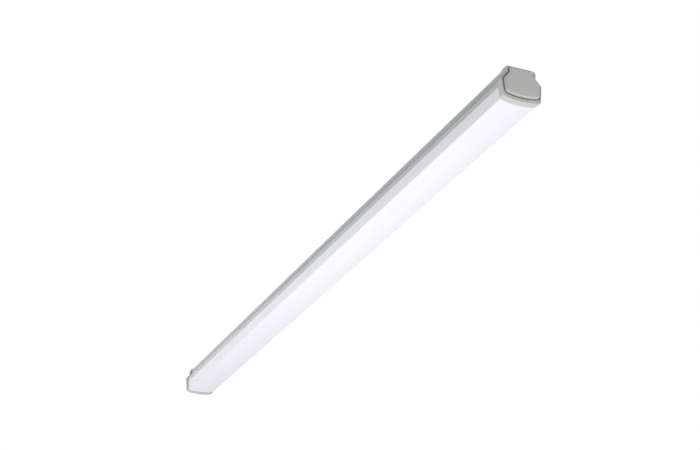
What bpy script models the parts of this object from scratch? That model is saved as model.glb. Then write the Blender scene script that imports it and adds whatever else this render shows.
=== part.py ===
"""Vapor tight linear light fixture.

A grey housing extrusion and an opal diffuser form one tube, closed by two end caps. Inside are the gear
tray with its LED boards, the driver and the mains terminal block. The far end cap holds the cable gland.

Sizes are in metres. +X runs along the tube to the near end and +Z is up. The origin is the centre of the
housing's flat top, which faces the ceiling.
"""
import math

import bmesh
import bpy
from mathutils import Matrix, Vector

# Shared clearances
GAP = 0.0003  # between pieces that seat on each other
OVERRUN = 0.0010  # how far a cutter runs past what it cuts

# Overall size, from the near cover's face to the far cover's face
OVERALL_LENGTH = 1.2000

# Cross-section of the tube: half widths, and depths below the flat top
FLANGE_TOP_HALF = 0.0183
FLANGE_TIP_HALF = 0.0201
FLANGE_TIP_DEPTH = 0.0039
NOTCH_HALF = 0.0187
NOTCH_DEPTH = 0.0090
WIDEST_HALF = 0.0263
WIDEST_DEPTH = 0.0182
JOINT_DROP = 0.0059  # from the widest line to where the housing ends and the diffuser starts
CORNER_HALF = 0.0242
CORNER_DEPTH = 0.0406
BOTTOM_BOW = 0.0031  # how far the bottom's middle hangs below its corners
FLANGE_TOP_RADIUS = 0.0010
FLANGE_TIP_RADIUS = 0.0008
NOTCH_RADIUS = 0.0010
WIDEST_RADIUS = 0.0020
CORNER_RADIUS = 0.0037
LEAST_RADIUS = 0.0003
BOW_SHARES = (0.76, 0.50, 0.25, 0.0)  # places of the bowed bottom's points across the half width
SMALL_ARC_STEPS = 2
LARGE_ARC_STEPS = 5

# Housing extrusion
HOUSING_WALL = 0.0020
RIB_THICKNESS = 0.0012
RIB_HALF = 0.0210  # half width between the inner ends of the ribs
HOOK_GROOVE_START = 0.0010
HOOK_GROOVE_HEIGHT = 0.0013
HOOK_GROOVE_DEPTH = 0.0007
PORT_PLACE_SHARE = 0.31  # where the screw port stands, along the sloping shoulder
PORT_WALL = 0.0009
PORT_NECK_SHARE = 0.7  # half width of the port's neck, of its radius
PORT_ARC_STEPS = 8

# Opal diffuser and its seal strips
DIFFUSER_WALL = 0.0018
SHOULDER_HEIGHT = 0.0014
LEG_THICKNESS = 0.0009
SEAL_HEIGHT = 0.0010

# End caps: frame and cover
COLLAR_PROUD = 0.0013  # how far the collar stands out from the tube
COLLAR_DEPTH = 0.0095
COLLAR_FRONT_RADIUS = 0.0008
COLLAR_BACK_RADIUS = 0.0004
RECESS_DEPTH = 0.0022  # from the rim to the web's outer face
WEB_THICKNESS = 0.0020
COVER_STANDOUT = 0.0025  # how far the cover's face stands out from the rim
COVER_SKIRT = 0.0010
COVER_EDGE_RADIUS = 0.0024
COVER_GROOVE = 0.0013  # the open line between the rim and the cover
RIM_TOP = 0.0019  # from here, widths from the collar's outside to the cover
RIM_FLANGE = 0.0048
RIM_SHOULDER = 0.0021
RIM_SIDE = 0.0028
RIM_BOTTOM = 0.0060
COVER_BOW = 0.0031  # how far the cover's bottom hangs below its corners
COVER_TOP_RADIUS = 0.0026
COVER_NECK_RADIUS = 0.0030
COVER_WIDEST_RADIUS = 0.0040
COVER_CORNER_RADIUS = 0.0045
COVER_EDGE_STEPS = 3
PEG_RADIUS = 0.0015
PEG_BOSS_WALL = 0.0010
PEG_TIP_GAP = 0.0003
UPPER_PEG_HALF = 0.0120
UPPER_PEG_DEPTH = 0.0046
LOWER_PEG_HALF = 0.0145
LOWER_PEG_DEPTH = 0.0317
PEG_SEGMENTS = 12

# End gaskets
GASKET_THICKNESS = 0.0012
GASKET_INSET = 0.0002
WINDOW_SIDE_SPACE = 0.0010  # from the gland's locknut to the window's sides
WINDOW_TOP_DEPTH = 0.0036
WINDOW_BOTTOM_DEPTH = 0.0290
WINDOW_RADIUS = 0.0030

# Fastening screws of the end caps
CAP_SCREW_RADIUS = 0.0015
CAP_SCREW_LENGTH = 0.0160
CAP_SCREW_HEAD_RIM = 0.0011  # how far the head stands out round the thread
CAP_SCREW_HEAD_HEIGHT = 0.0020
CAP_SCREW_RECESS_WIDTH = 0.0008
CAP_SCREW_RECESS_SPAN = 0.0030
CAP_SCREW_RECESS_DEPTH = 0.0011
LOW_SCREW_SPACE = 0.0071  # from the depth of the bottom's corners up to the third screw
HEAD_CLEARANCE = 0.0004  # from a screw's head to the cover
SCREW_SEGMENTS = 12

# Gear tray
SHEET = 0.0010
TRAY_EDGE_GAP = 0.0006
TRAY_DROP = 0.0050  # from the underside of the tray's edges to the underside of its base
TRAY_LEG_GAP = 0.0006
TRAY_END_SPACE = 0.0075  # from the tube's end to the tray's end
TAB_HALF = 0.0070
TAB_THICKNESS = 0.0020
TAB_SETBACK = 0.0005
TAB_EDGE = 0.0040  # from the screw's centre to the tab's lower edge

# LED boards
BOARD_COUNT = 4
BOARD_HALF = 0.0100
BOARD_THICKNESS = 0.0010
BOARD_SPACING = 0.0040
BOARD_END_SPACE = 0.0010  # from the tray's end tab to the first board
BOARD_LED_COUNT = 18
LED_LENGTH = 0.0035
LED_WIDTH = 0.0028
LED_HEIGHT = 0.0007

# Board links and snap rivets
LINK_LENGTH = 0.0140
LINK_WIDTH = 0.0050
LINK_HEIGHT = 0.0024
LINK_EDGE = 0.0004
LINK_OFFSET = 0.0062
RIVET_OFFSET = -0.0062
RIVET_PLACE_SHARE = 0.38  # of the board's length, from its centre
RIVET_RADIUS = 0.0015
RIVET_HEAD_RADIUS = 0.0028
RIVET_HEAD_HEIGHT = 0.0008
RIVET_TIP_RADIUS = 0.0022
RIVET_TIP_HEIGHT = 0.0011
RIVET_SEGMENTS = 10

# LED driver
DRIVER_LENGTH = 0.2200
DRIVER_SIDE_SPACE = 0.0027  # from its case to the housing's inner face at the notch
DRIVER_HEIGHT = 0.0135
DRIVER_WALL = 0.0012
RIVET_CLEARANCE = 0.0005  # from the rivets' tips to the driver
DRIVER_FOOT_WIDTH = 0.0022
DRIVER_EAR = 0.0080
DRIVER_EAR_THICKNESS = 0.0020
DRIVER_LID_THICKNESS = 0.0014
DRIVER_LID_LIP = 0.0020
DRIVER_LID_LIP_WALL = 0.0010
DRIVER_START_SPACE = 0.0400  # from the terminal block to the driver's case
CIRCUIT_THICKNESS = 0.0016
CIRCUIT_STAND = 0.0010  # height of the circuit board above the case's floor
CIRCUIT_PART_HEIGHT_SHARES = (0.74, 0.62, 0.85, 0.53)  # of the room under the lid
CIRCUIT_PART_LENGTH_SHARES = (0.085, 0.056, 0.094, 0.066)  # of the circuit board's length
CIRCUIT_PART_PLACE_SHARES = (-0.36, -0.13, 0.12, 0.35)
CIRCUIT_PART_HALF = 0.0075
SMALL_SCREW_RADIUS = 0.0014
SMALL_SCREW_HEAD_RADIUS = 0.0026
SMALL_SCREW_HEAD_HEIGHT = 0.0015
SMALL_SCREW_SLOT = 0.0007

# Mains terminal block
BLOCK_FRONT_SPACE = 0.0080  # from the tray's end to the block's front
BLOCK_LENGTH = 0.0220
BLOCK_SIDE_WALL = 0.0011
BLOCK_ROOF = 0.0012
BLOCK_EDGE = 0.0006
POLE_PITCH = 0.0068
ENTRY_RADIUS = 0.0018
ENTRY_DEPTH = 0.0060
CHAMBER_LENGTH = 0.0075
CHAMBER_HALF = 0.0026
CHAMBER_HEIGHT = 0.0044
BUTTON_FLOOR = 0.0006  # between a button's slot and the chamber below it
BUTTON_WIDTH = 0.0030
BUTTON_HEIGHT = 0.0024
BUTTON_STANDOUT = 0.0020
BUTTON_INSIDE = 0.0060
BUTTON_TRAVEL = 0.0015
CLAMP_THICKNESS = 0.0006

# Internal leads
MAINS_LEAD_RADIUS = 0.0011
LED_LEAD_RADIUS = 0.0008
LEAD_SEAT = 0.0025  # how far a lead reaches into a hole
LEAD_BEND_SHARE = 0.2  # of the way between block and driver, straight at each end
LED_LEAD_SPREAD = 0.0030  # from each LED lead to the middle of the hole in the tray
LEAD_HOLE_HEIGHT = 0.0070  # above the driver case's floor
LEAD_DROP_RADIUS = 0.0050
LEAD_DROP_CLEARANCE = 0.0012  # between that hole and the row of rivets
LEAD_DROP_SPACE = 0.0170  # from the driver's case to the hole in the tray
LEAD_STEPS = 3
LEAD_BEVEL_STEPS = 2
EARTH_EDGE_SPACE = 0.0008  # from the earth tag to the tray's side
EARTH_SPACE = 0.0260  # from the terminal block to the earth screw
EARTH_TAG_RADIUS = 0.0036
EARTH_TAG_THICKNESS = 0.0008
EARTH_BARREL_LENGTH = 0.0060

# Cable gland, with distances along its axis from the web's outer face
GLAND_DEPTH = 0.0160  # depth of its axis below the flat top
GLAND_THREAD_RADIUS = 0.0080
GLAND_NUT_WALL = 0.0020  # least wall of its hexagons
GLAND_WASHER_WIDTH = 0.0030
GLAND_WASHER_THICKNESS = 0.0010
GLAND_HEX_THICKNESS = 0.0050
GLAND_NECK_LENGTH = 0.0084
GLAND_INNER_LENGTH = 0.0075  # threaded length inside the web
GLAND_THROAT_WALL = 0.0013
GLAND_THROAT_STEP = 0.0017  # from the throat in to the bore
GLAND_THROAT_DEPTH = 0.0075
GLAND_SEAL_GRIP = 0.0005  # how far the seal reaches in from the bore
GLAND_SEAL_LENGTH = 0.0067
GLAND_RING_THICKNESS = 0.0020
GLAND_TRAVEL = 0.0030
GLAND_NOSE_THICKNESS = 0.0029
GLAND_NOSE_RIM = 0.0022
GLAND_DOME_LENGTH = 0.0045
GLAND_LOCKNUT_THICKNESS = 0.0045
GLAND_COVER_GAP = 0.0008
GLAND_SEGMENTS = 24

# Radii and widths that follow from the sizes above
CAP_SCREW_HEAD_RADIUS = CAP_SCREW_RADIUS + CAP_SCREW_HEAD_RIM
LOW_SCREW_DEPTH = CORNER_DEPTH - LOW_SCREW_SPACE
TRAY_LEG_OUT = RIB_HALF - TRAY_LEG_GAP
TRAY_LEG_IN = TRAY_LEG_OUT - SHEET
EARTH_OFFSET = TRAY_LEG_IN - EARTH_EDGE_SPACE - EARTH_TAG_RADIUS
DRIVER_HALF = NOTCH_HALF - HOUSING_WALL - DRIVER_SIDE_SPACE
GLAND_THROAT_RADIUS = GLAND_THREAD_RADIUS - GLAND_THROAT_WALL
GLAND_BORE_RADIUS = GLAND_THROAT_RADIUS - GLAND_THROAT_STEP
GLAND_SEAL_BORE_RADIUS = GLAND_BORE_RADIUS - GLAND_SEAL_GRIP
GLAND_FLATS = 2 * (GLAND_THREAD_RADIUS + GLAND_NUT_WALL)
GLAND_CORNER_RADIUS = GLAND_FLATS / math.sqrt(3)
GLAND_WASHER_RADIUS = GLAND_THREAD_RADIUS + GLAND_WASHER_WIDTH
GLAND_NOSE_RADIUS = GLAND_BORE_RADIUS + GLAND_NOSE_RIM

# Places along X that follow from the sizes above
RIM_X = OVERALL_LENGTH / 2 - COVER_STANDOUT
WEB_X = RIM_X - RECESS_DEPTH
GASKET_X = WEB_X - WEB_THICKNESS - GAP
TUBE_END_X = GASKET_X - GASKET_THICKNESS - GAP
TRAY_END_X = TUBE_END_X - TRAY_END_SPACE
TAB_X = TRAY_END_X - TAB_SETBACK - TAB_THICKNESS
BOARDS_END_X = TAB_X - BOARD_END_SPACE
BOARD_LENGTH = (2 * BOARDS_END_X - (BOARD_COUNT - 1) * BOARD_SPACING) / BOARD_COUNT
BLOCK_FRONT_X = -(TRAY_END_X - BLOCK_FRONT_SPACE)
BLOCK_BACK_X = BLOCK_FRONT_X + BLOCK_LENGTH
DRIVER_START_X = BLOCK_BACK_X + DRIVER_START_SPACE
DRIVER_END_X = DRIVER_START_X + DRIVER_LENGTH

# Heights that follow from the sizes above
JOINT_Z = -WIDEST_DEPTH - JOINT_DROP
HOOK_LOW_Z = JOINT_Z + HOOK_GROOVE_START
HOOK_HIGH_Z = HOOK_LOW_Z + HOOK_GROOVE_HEIGHT
LOWER_RIB_Z = HOOK_HIGH_Z + SEAL_HEIGHT + GAP
GROOVE_Z = LOWER_RIB_Z + RIB_THICKNESS
UPPER_RIB_Z = GROOVE_Z + SHEET + 2 * GAP
TRAY_EDGE_Z = GROOVE_Z + GAP  # underside of the tray's edges
TRAY_BASE_Z = TRAY_EDGE_Z - TRAY_DROP  # underside of the tray's base
TRAY_TOP_Z = TRAY_BASE_Z + SHEET
BOARD_TOP_Z = TRAY_BASE_Z - GAP
BOARD_LOW_Z = BOARD_TOP_Z - BOARD_THICKNESS
SEAT_Z = TRAY_TOP_Z + GAP  # where pieces stand on the tray
DRIVER_FLOOR_Z = SEAT_Z + RIVET_TIP_HEIGHT + RIVET_CLEARANCE
DRIVER_TOP_Z = DRIVER_FLOOR_Z + DRIVER_HEIGHT
LEAD_HOLE_Z = DRIVER_FLOOR_Z + LEAD_HOLE_HEIGHT
EAR_LOW_Z = SEAT_Z + GAP
EAR_TOP_Z = EAR_LOW_Z + DRIVER_EAR_THICKNESS
BUTTON_Z = -GLAND_DEPTH + CHAMBER_HEIGHT / 2 + BUTTON_FLOOR + GAP + BUTTON_HEIGHT / 2


def clear_scene():
    for old in list(bpy.data.objects):
        bpy.data.objects.remove(old)


def make_material(name, colour, roughness, metallic=0.0):
    material = bpy.data.materials.new(name)
    material.use_nodes = True
    shader = material.node_tree.nodes["Principled BSDF"]
    shader.inputs["Base Color"].default_value = (*colour, 1.0)
    shader.inputs["Roughness"].default_value = roughness
    shader.inputs["Metallic"].default_value = metallic
    return material


# Outlines: a half outline lists the points of the right side, from top to bottom, as (y, z)

def fillet(before, corner, after, radius, steps):
    """The arc that rounds a corner, from the side of the point before it to the side of the next."""
    towards_before = (before - corner).normalized()
    towards_after = (after - corner).normalized()
    half_angle = towards_before.angle(towards_after) / 2
    reach = radius / math.tan(half_angle)
    centre = corner + (towards_before + towards_after).normalized() * radius / math.sin(half_angle)
    first = corner + towards_before * reach - centre
    last = corner + towards_after * reach - centre
    sweep = first.angle(last)
    points = []
    for step in range(steps + 1):
        share = step / steps
        weight = math.sin((1 - share) * sweep) / math.sin(sweep)
        other_weight = math.sin(share * sweep) / math.sin(sweep)
        points.append(centre + first * weight + last * other_weight)
    return points


def bowed(corners, bow_depth):
    """The corners of a half outline, followed by the points of its bowed bottom."""
    last = corners[-1]
    return list(corners) + [
        Vector((last.x * share, -bow_depth + (last.y + bow_depth) * share ** 2)) for share in BOW_SHARES
    ]


def rounded(points, fillets):
    """A half outline whose first corners are rounded, each with its (radius, steps)."""
    around = [Vector((0.0, points[0][1]))] + [Vector(point) for point in points]
    half = []
    for index, (radius, steps) in enumerate(fillets):
        half += fillet(around[index], around[index + 1], around[index + 2], radius, steps)
    return [(point.x, point.y) for point in half + around[len(fillets) + 1:]]


def whole(half):
    """The closed outline of a half one and its mirror image, clockwise."""
    return list(half) + [(-y, z) for y, z in reversed(half) if y > 0]


def inset(outline, distance):
    """The clockwise outline moved inwards, or outwards for a negative distance."""
    moved = []
    count = len(outline)
    for index in range(count):
        before = Vector(outline[index - 1])
        here = Vector(outline[index])
        after = Vector(outline[(index + 1) % count])
        along = (here - before).normalized()
        onward = (after - here).normalized()
        normal = Vector((-along.y, along.x))
        next_normal = Vector((-onward.y, onward.x))
        here -= (normal + next_normal) * (distance / (1 + normal.dot(next_normal)))
        moved.append((here.x, here.y))
    return moved


def half_at(outline, z):
    """The outline's half width at a height."""
    widths = []
    for index in range(len(outline)):
        (y0, z0), (y1, z1) = outline[index - 1], outline[index]
        if z0 != z1 and (z0 - z) * (z1 - z) <= 0:
            widths.append(y0 + (y1 - y0) * (z - z0) / (z1 - z0))
    return max(widths)


def body_corners():
    """The sharp corners of the tube's right side, with the bowed bottom's points."""
    corners = (
        Vector((FLANGE_TOP_HALF, 0.0)),
        Vector((FLANGE_TIP_HALF, -FLANGE_TIP_DEPTH)),
        Vector((NOTCH_HALF, -NOTCH_DEPTH)),
        Vector((WIDEST_HALF, -WIDEST_DEPTH)),
        Vector((CORNER_HALF, -CORNER_DEPTH)),
    )
    return bowed(corners, CORNER_DEPTH + BOTTOM_BOW)


def body_half(distance=0.0):
    """The right half of the tube's outline, moved inwards by a distance."""
    corners = body_corners()
    moved = inset(whole([tuple(corner) for corner in corners]), distance)[:len(corners)]
    fillets = (
        (FLANGE_TOP_RADIUS - distance, SMALL_ARC_STEPS),
        (FLANGE_TIP_RADIUS - distance, SMALL_ARC_STEPS),
        (NOTCH_RADIUS + distance, SMALL_ARC_STEPS),
        (WIDEST_RADIUS - distance, SMALL_ARC_STEPS),
        (CORNER_RADIUS - distance, LARGE_ARC_STEPS),
    )
    return rounded(moved, [(max(radius, LEAST_RADIUS), steps) for radius, steps in fillets])


def shifted_line(start, end, distance):
    """A point and the direction of a side of the clockwise outline, moved inwards."""
    along = (end - start).normalized()
    return start - Vector((-along.y, along.x)) * distance, along


def cover_half():
    """The right half of an end cap cover's outline, whose sides run along the collar's."""
    notch, widest, corner = body_corners()[2:5]
    shoulder, down = shifted_line(notch, widest, RIM_SHOULDER - COLLAR_PROUD)
    side, along = shifted_line(widest, corner, RIM_SIDE - COLLAR_PROUD)
    top_z = COLLAR_PROUD - RIM_TOP
    neck_half = FLANGE_TIP_HALF + COLLAR_PROUD - RIM_FLANGE
    neck = shoulder + down * ((neck_half - shoulder.x) / down.x)
    meeting = shoulder + down * ((side - shoulder).cross(along) / down.cross(along))
    bottom_z = RIM_BOTTOM - COLLAR_PROUD - CORNER_DEPTH - BOTTOM_BOW
    low = side + along * ((bottom_z + COVER_BOW - side.y) / along.y)
    corners = (Vector((neck_half, top_z)), neck, meeting, low)
    fillets = (
        (COVER_TOP_RADIUS, SMALL_ARC_STEPS),
        (COVER_NECK_RADIUS, SMALL_ARC_STEPS),
        (COVER_WIDEST_RADIUS, SMALL_ARC_STEPS),
        (COVER_CORNER_RADIUS, LARGE_ARC_STEPS),
    )
    return rounded(bowed(corners, -bottom_z), fillets)


def circle(y, z, radius, segments):
    turns = [math.tau * step / segments for step in range(segments)]
    return [(y + radius * math.cos(turn), z + radius * math.sin(turn)) for turn in turns]


def port_frame():
    """The right screw port's centre, its foot on the shoulder's inner face, and the shoulder's slope."""
    notch, widest = body_corners()[2:4]
    start, slope = shifted_line(notch, widest, HOUSING_WALL)
    foot = start + slope * ((widest - notch).length * PORT_PLACE_SHARE)
    cover_inside = RIM_SHOULDER - COLLAR_PROUD + COVER_SKIRT
    sink = cover_inside + CAP_SCREW_HEAD_RADIUS + HEAD_CLEARANCE - HOUSING_WALL
    return foot + Vector((slope.y, -slope.x)) * sink, foot, slope


def port_wall():
    """The right screw port's wall, from its neck's lower foot round to its upper foot."""
    centre, foot, slope = port_frame()
    radius = CAP_SCREW_RADIUS + GAP + PORT_WALL
    neck_half = radius * PORT_NECK_SHARE
    outwards = (foot - centre).normalized()
    start = math.asin(PORT_NECK_SHARE)
    points = [foot + slope * neck_half]
    for step in range(PORT_ARC_STEPS + 1):
        turn = start + (math.tau - 2 * start) * step / PORT_ARC_STEPS
        points.append(centre + (outwards * math.cos(turn) + slope * math.sin(turn)) * radius)
    points.append(foot - slope * neck_half)
    return [(point.x, point.y) for point in points]


def cap_screw_places():
    """The (y, z) of an end cap's three screws."""
    centre = port_frame()[0]
    return [(centre.x, centre.y), (-centre.x, centre.y), (0.0, -LOW_SCREW_DEPTH)]


# Solids

def finish(bm, name, material):
    """An object made of the mesh, with its faces outwards and its round stretches smooth."""
    bmesh.ops.recalc_face_normals(bm, faces=bm.faces)
    mesh = bpy.data.meshes.new(name)
    bm.to_mesh(mesh)
    bm.free()
    mesh.shade_smooth()
    mesh.set_sharp_from_angle(angle=math.radians(35))
    if material:
        mesh.materials.append(material)
    item = bpy.data.objects.new(name, mesh)
    bpy.context.scene.collection.objects.link(item)
    return item


def boolean(item, tool, operation="DIFFERENCE"):
    """Cuts the tool from the item, or joins it to it, and removes the tool."""
    modifier = item.modifiers.new(operation.title(), "BOOLEAN")
    modifier.operation = operation
    modifier.object = tool
    graph = bpy.context.evaluated_depsgraph_get()
    mesh = bpy.data.meshes.new_from_object(item.evaluated_get(graph))
    item.modifiers.remove(modifier)
    item.data = mesh
    mesh.name = item.name
    bpy.data.objects.remove(tool)
    return item


def prism(name, outline, low_x, high_x, material=None, holes=()):
    """An outline in (y, z) run along X, with through holes."""
    bm = bmesh.new()
    ends = ([], [])
    for loop in (outline, *holes):
        rings = [[bm.verts.new((x, y, z)) for y, z in loop] for x in (low_x, high_x)]
        count = len(loop)
        for index in range(count):
            onward = (index + 1) % count
            bm.faces.new((rings[0][index], rings[0][onward], rings[1][onward], rings[1][index]))
            for ring, end in zip(rings, ends):
                end.append(bm.edges.get((ring[index], ring[onward])))
    for end in ends:
        bmesh.ops.triangle_fill(bm, edges=end, use_beauty=True, use_dissolve=False)
    return finish(bm, name, material)


def loft(name, rings, material=None):
    """A solid through outlines of equal length, given as (x, outline)."""
    bm = bmesh.new()
    loops = [[bm.verts.new((x, y, z)) for y, z in outline] for x, outline in rings]
    count = len(loops[0])
    for lower, upper in zip(loops, loops[1:]):
        for index in range(count):
            onward = (index + 1) % count
            bm.faces.new((lower[index], lower[onward], upper[onward], upper[index]))
    bm.faces.new(loops[0])
    bm.faces.new(loops[-1])
    return finish(bm, name, material)


def turned(name, profile, segments, material=None, closed=False):
    """A profile of (x, radius) turned about the X axis. A closed profile has a bore."""
    bm = bmesh.new()
    rings = []
    for x, radius in profile:
        if radius == 0:
            rings.append([bm.verts.new((x, 0.0, 0.0))] * segments)
        else:
            rings.append([bm.verts.new((x, y, z)) for y, z in circle(0.0, 0.0, radius, segments)])
    pairs = list(zip(rings, rings[1:]))
    if closed:
        pairs.append((rings[-1], rings[0]))
    for ring, onward_ring in pairs:
        for index in range(segments):
            onward = (index + 1) % segments
            corners = [ring[index], ring[onward], onward_ring[onward], onward_ring[index]]
            corners = list(dict.fromkeys(corners))
            if len(corners) > 2:
                bm.faces.new(corners)
    return finish(bm, name, material)


def box(name, low, high, material=None, edge=0.0):
    """A box between two corners, with its edges bevelled."""
    bm = bmesh.new()
    bmesh.ops.create_cube(bm, size=1.0)
    size = Vector(high) - Vector(low)
    bmesh.ops.scale(bm, vec=size, verts=bm.verts)
    bmesh.ops.translate(bm, vec=Vector(low) + size / 2, verts=bm.verts)
    if edge:
        bmesh.ops.bevel(bm, geom=bm.edges, offset=edge, segments=1, affect="EDGES")
    return finish(bm, name, material)


def rod(low_x, high_x, y, z, radius, segments):
    """A plain round cutter along X."""
    return prism("rod", circle(y, z, radius, segments), low_x, high_x)


def upright_rod(x, y, low_z, high_z, radius, segments):
    """A plain round cutter along Z."""
    tool = rod(-high_z, -low_z, 0.0, 0.0, radius, segments)
    tool.data.transform(Matrix.Translation((x, y, 0.0)) @ Matrix.Rotation(math.pi / 2, 4, "Y"))
    return tool


def gland_hexagon():
    """The outline shared by the gland's hexagon and its nuts."""
    return circle(0.0, 0.0, GLAND_CORNER_RADIUS, 6)


def place_at_end(item, end, z=0.0):
    """Puts a piece built outwards from the web's outer face at the near end (1) or the far end (-1)."""
    item.location = (end * WEB_X, 0.0, z)
    item.rotation_euler.z = 0.0 if end > 0 else math.pi
    return item


# The tube

def build_housing(material):
    body = whole(body_half())
    inner_half = body_half(HOUSING_WALL)
    inner = whole(inner_half)

    def wall(z, outwards=0.0):
        return half_at(inner, z) + outwards, z

    def rib(z):
        return [wall(z), (RIB_HALF, z), (RIB_HALF, z + RIB_THICKNESS), wall(z + RIB_THICKNESS)]

    outer_path = [point for point in body_half() if point[1] > JOINT_Z]
    outer_path.append((half_at(body, JOINT_Z), JOINT_Z))
    hook_groove = [wall(JOINT_Z), wall(HOOK_LOW_Z), wall(HOOK_LOW_Z, HOOK_GROOVE_DEPTH)]
    hook_groove += [wall(HOOK_HIGH_Z, HOOK_GROOVE_DEPTH), wall(HOOK_HIGH_Z)]
    port = port_wall()
    above_port = [point for point in reversed(inner_half) if point[1] > port[-1][1]]
    half = outer_path + hook_groove + rib(LOWER_RIB_Z) + rib(UPPER_RIB_Z) + port + above_port
    centre = port_frame()[0]
    hole_radius = CAP_SCREW_RADIUS + GAP
    holes = [circle(side * centre.x, centre.y, hole_radius, SCREW_SEGMENTS) for side in (1, -1)]
    return prism("housing", whole(half), -TUBE_END_X, TUBE_END_X, material, holes)


def leg_faces():
    """The outer and inner half widths of the diffuser's upright legs."""
    inner = whole(body_half(HOUSING_WALL))
    outer_face = half_at(inner, JOINT_Z) - GAP
    return outer_face, outer_face - LEG_THICKNESS


def build_diffuser(material):
    body = whole(body_half())
    inner_half = body_half(DIFFUSER_WALL)
    housing_inner = whole(body_half(HOUSING_WALL))
    start_z = JOINT_Z - GAP
    shoulder_z = start_z - SHOULDER_HEIGHT
    hook_low = HOOK_LOW_Z + GAP
    hook_high = HOOK_HIGH_Z - GAP
    hook_tip = half_at(housing_inner, hook_low) + HOOK_GROOVE_DEPTH - GAP
    leg_out, leg_in = leg_faces()
    outer = [(leg_out, hook_low), (leg_out, start_z), (half_at(body, start_z), start_z)]
    outer += [point for point in body_half() if point[1] < start_z]
    below = [point for point in inner_half if point[1] < shoulder_z]
    inner = below[::-1] + [(half_at(whole(inner_half), shoulder_z), shoulder_z), (leg_in, shoulder_z)]
    inner += [(leg_in, hook_high), (hook_tip, hook_high), (hook_tip, hook_low)]
    left_outer = [(-y, z) for y, z in reversed(outer) if y > 0]
    left_inner = [(-y, z) for y, z in reversed(inner)]
    right_inner = [point for point in inner if point[0] > 0]
    outline = outer + left_outer + left_inner + right_inner
    return prism("diffuser", outline, -TUBE_END_X, TUBE_END_X, material)


def build_seal_strip(name, side, material):
    inner = whole(body_half(HOUSING_WALL))
    high_z = LOWER_RIB_Z - GAP
    low_z = high_z - SEAL_HEIGHT
    leg_in = leg_faces()[1]
    outer_face = half_at(inner, low_z) - GAP
    section = [(leg_in, high_z), (outer_face, high_z), (outer_face, low_z), (leg_in, low_z)]
    return prism(name, [(side * y, z) for y, z in section], -TUBE_END_X, TUBE_END_X, material)


# End caps

def peg_places():
    upper = [(side * UPPER_PEG_HALF, -UPPER_PEG_DEPTH) for side in (1, -1)]
    lower = [(side * LOWER_PEG_HALF, -LOWER_PEG_DEPTH) for side in (1, -1)]
    return upper + lower


def build_cap_frame(name, end, material, gland=False):
    """Collar, rim and web, with blind sockets for the cover's pegs."""
    collar = whole(body_half(-COLLAR_PROUD))
    back = RECESS_DEPTH - COLLAR_DEPTH
    rings = [(back, inset(collar, COLLAR_BACK_RADIUS)), (back + COLLAR_BACK_RADIUS, collar)]
    for step in range(SMALL_ARC_STEPS + 1):
        turn = math.pi / 2 * step / SMALL_ARC_STEPS
        front = RECESS_DEPTH - COLLAR_FRONT_RADIUS * (1 - math.sin(turn))
        rings.append((front, inset(collar, COLLAR_FRONT_RADIUS * (1 - math.cos(turn)))))
    frame = loft(name, rings, material)
    frame = boolean(frame, prism("cavity", whole(body_half(-GAP)), back - OVERRUN, -WEB_THICKNESS))
    recess = inset(whole(cover_half()), -COVER_GROOVE)
    socket_radius = PEG_RADIUS + GAP
    islands = [circle(y, z, socket_radius + PEG_BOSS_WALL, PEG_SEGMENTS) for y, z in peg_places()]
    frame = boolean(frame, prism("recess", recess, 0.0, RECESS_DEPTH + OVERRUN, None, islands))
    for y, z in peg_places():
        frame = boolean(frame, rod(GAP, RECESS_DEPTH + OVERRUN, y, z, socket_radius, PEG_SEGMENTS))
    through = (-WEB_THICKNESS - OVERRUN, OVERRUN)
    for y, z in cap_screw_places():
        frame = boolean(frame, rod(*through, y, z, CAP_SCREW_RADIUS + GAP, SCREW_SEGMENTS))
    if gland:
        hole = rod(*through, 0.0, -GLAND_DEPTH, GLAND_THREAD_RADIUS + GAP, GLAND_SEGMENTS)
        frame = boolean(frame, hole)
    return place_at_end(frame, end)


def build_cap_cover(name, end, material, gland=False):
    """The raised plate with its skirt and pegs."""
    outline = whole(cover_half())
    face = RECESS_DEPTH + COVER_STANDOUT
    rings = [(GAP, outline)]
    for step in range(COVER_EDGE_STEPS + 1):
        turn = math.pi / 2 * step / COVER_EDGE_STEPS
        front = face - COVER_EDGE_RADIUS * (1 - math.sin(turn))
        rings.append((front, inset(outline, COVER_EDGE_RADIUS * (1 - math.cos(turn)))))
    cover = loft(name, rings, material)
    plate_back = GAP + CAP_SCREW_HEAD_HEIGHT + HEAD_CLEARANCE
    pocket = prism("pocket", inset(outline, COVER_SKIRT), GAP - OVERRUN, plate_back)
    cover = boolean(cover, pocket)
    for y, z in peg_places():
        peg = rod(GAP + PEG_TIP_GAP, (plate_back + face) / 2, y, z, PEG_RADIUS, PEG_SEGMENTS)
        cover = boolean(cover, peg, "UNION")
    if gland:
        hole_radius = GLAND_CORNER_RADIUS + GLAND_COVER_GAP
        hole = rod(-OVERRUN, face + OVERRUN, 0.0, -GLAND_DEPTH, hole_radius, GLAND_SEGMENTS)
        cover = boolean(cover, hole)
    return place_at_end(cover, end)


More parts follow.
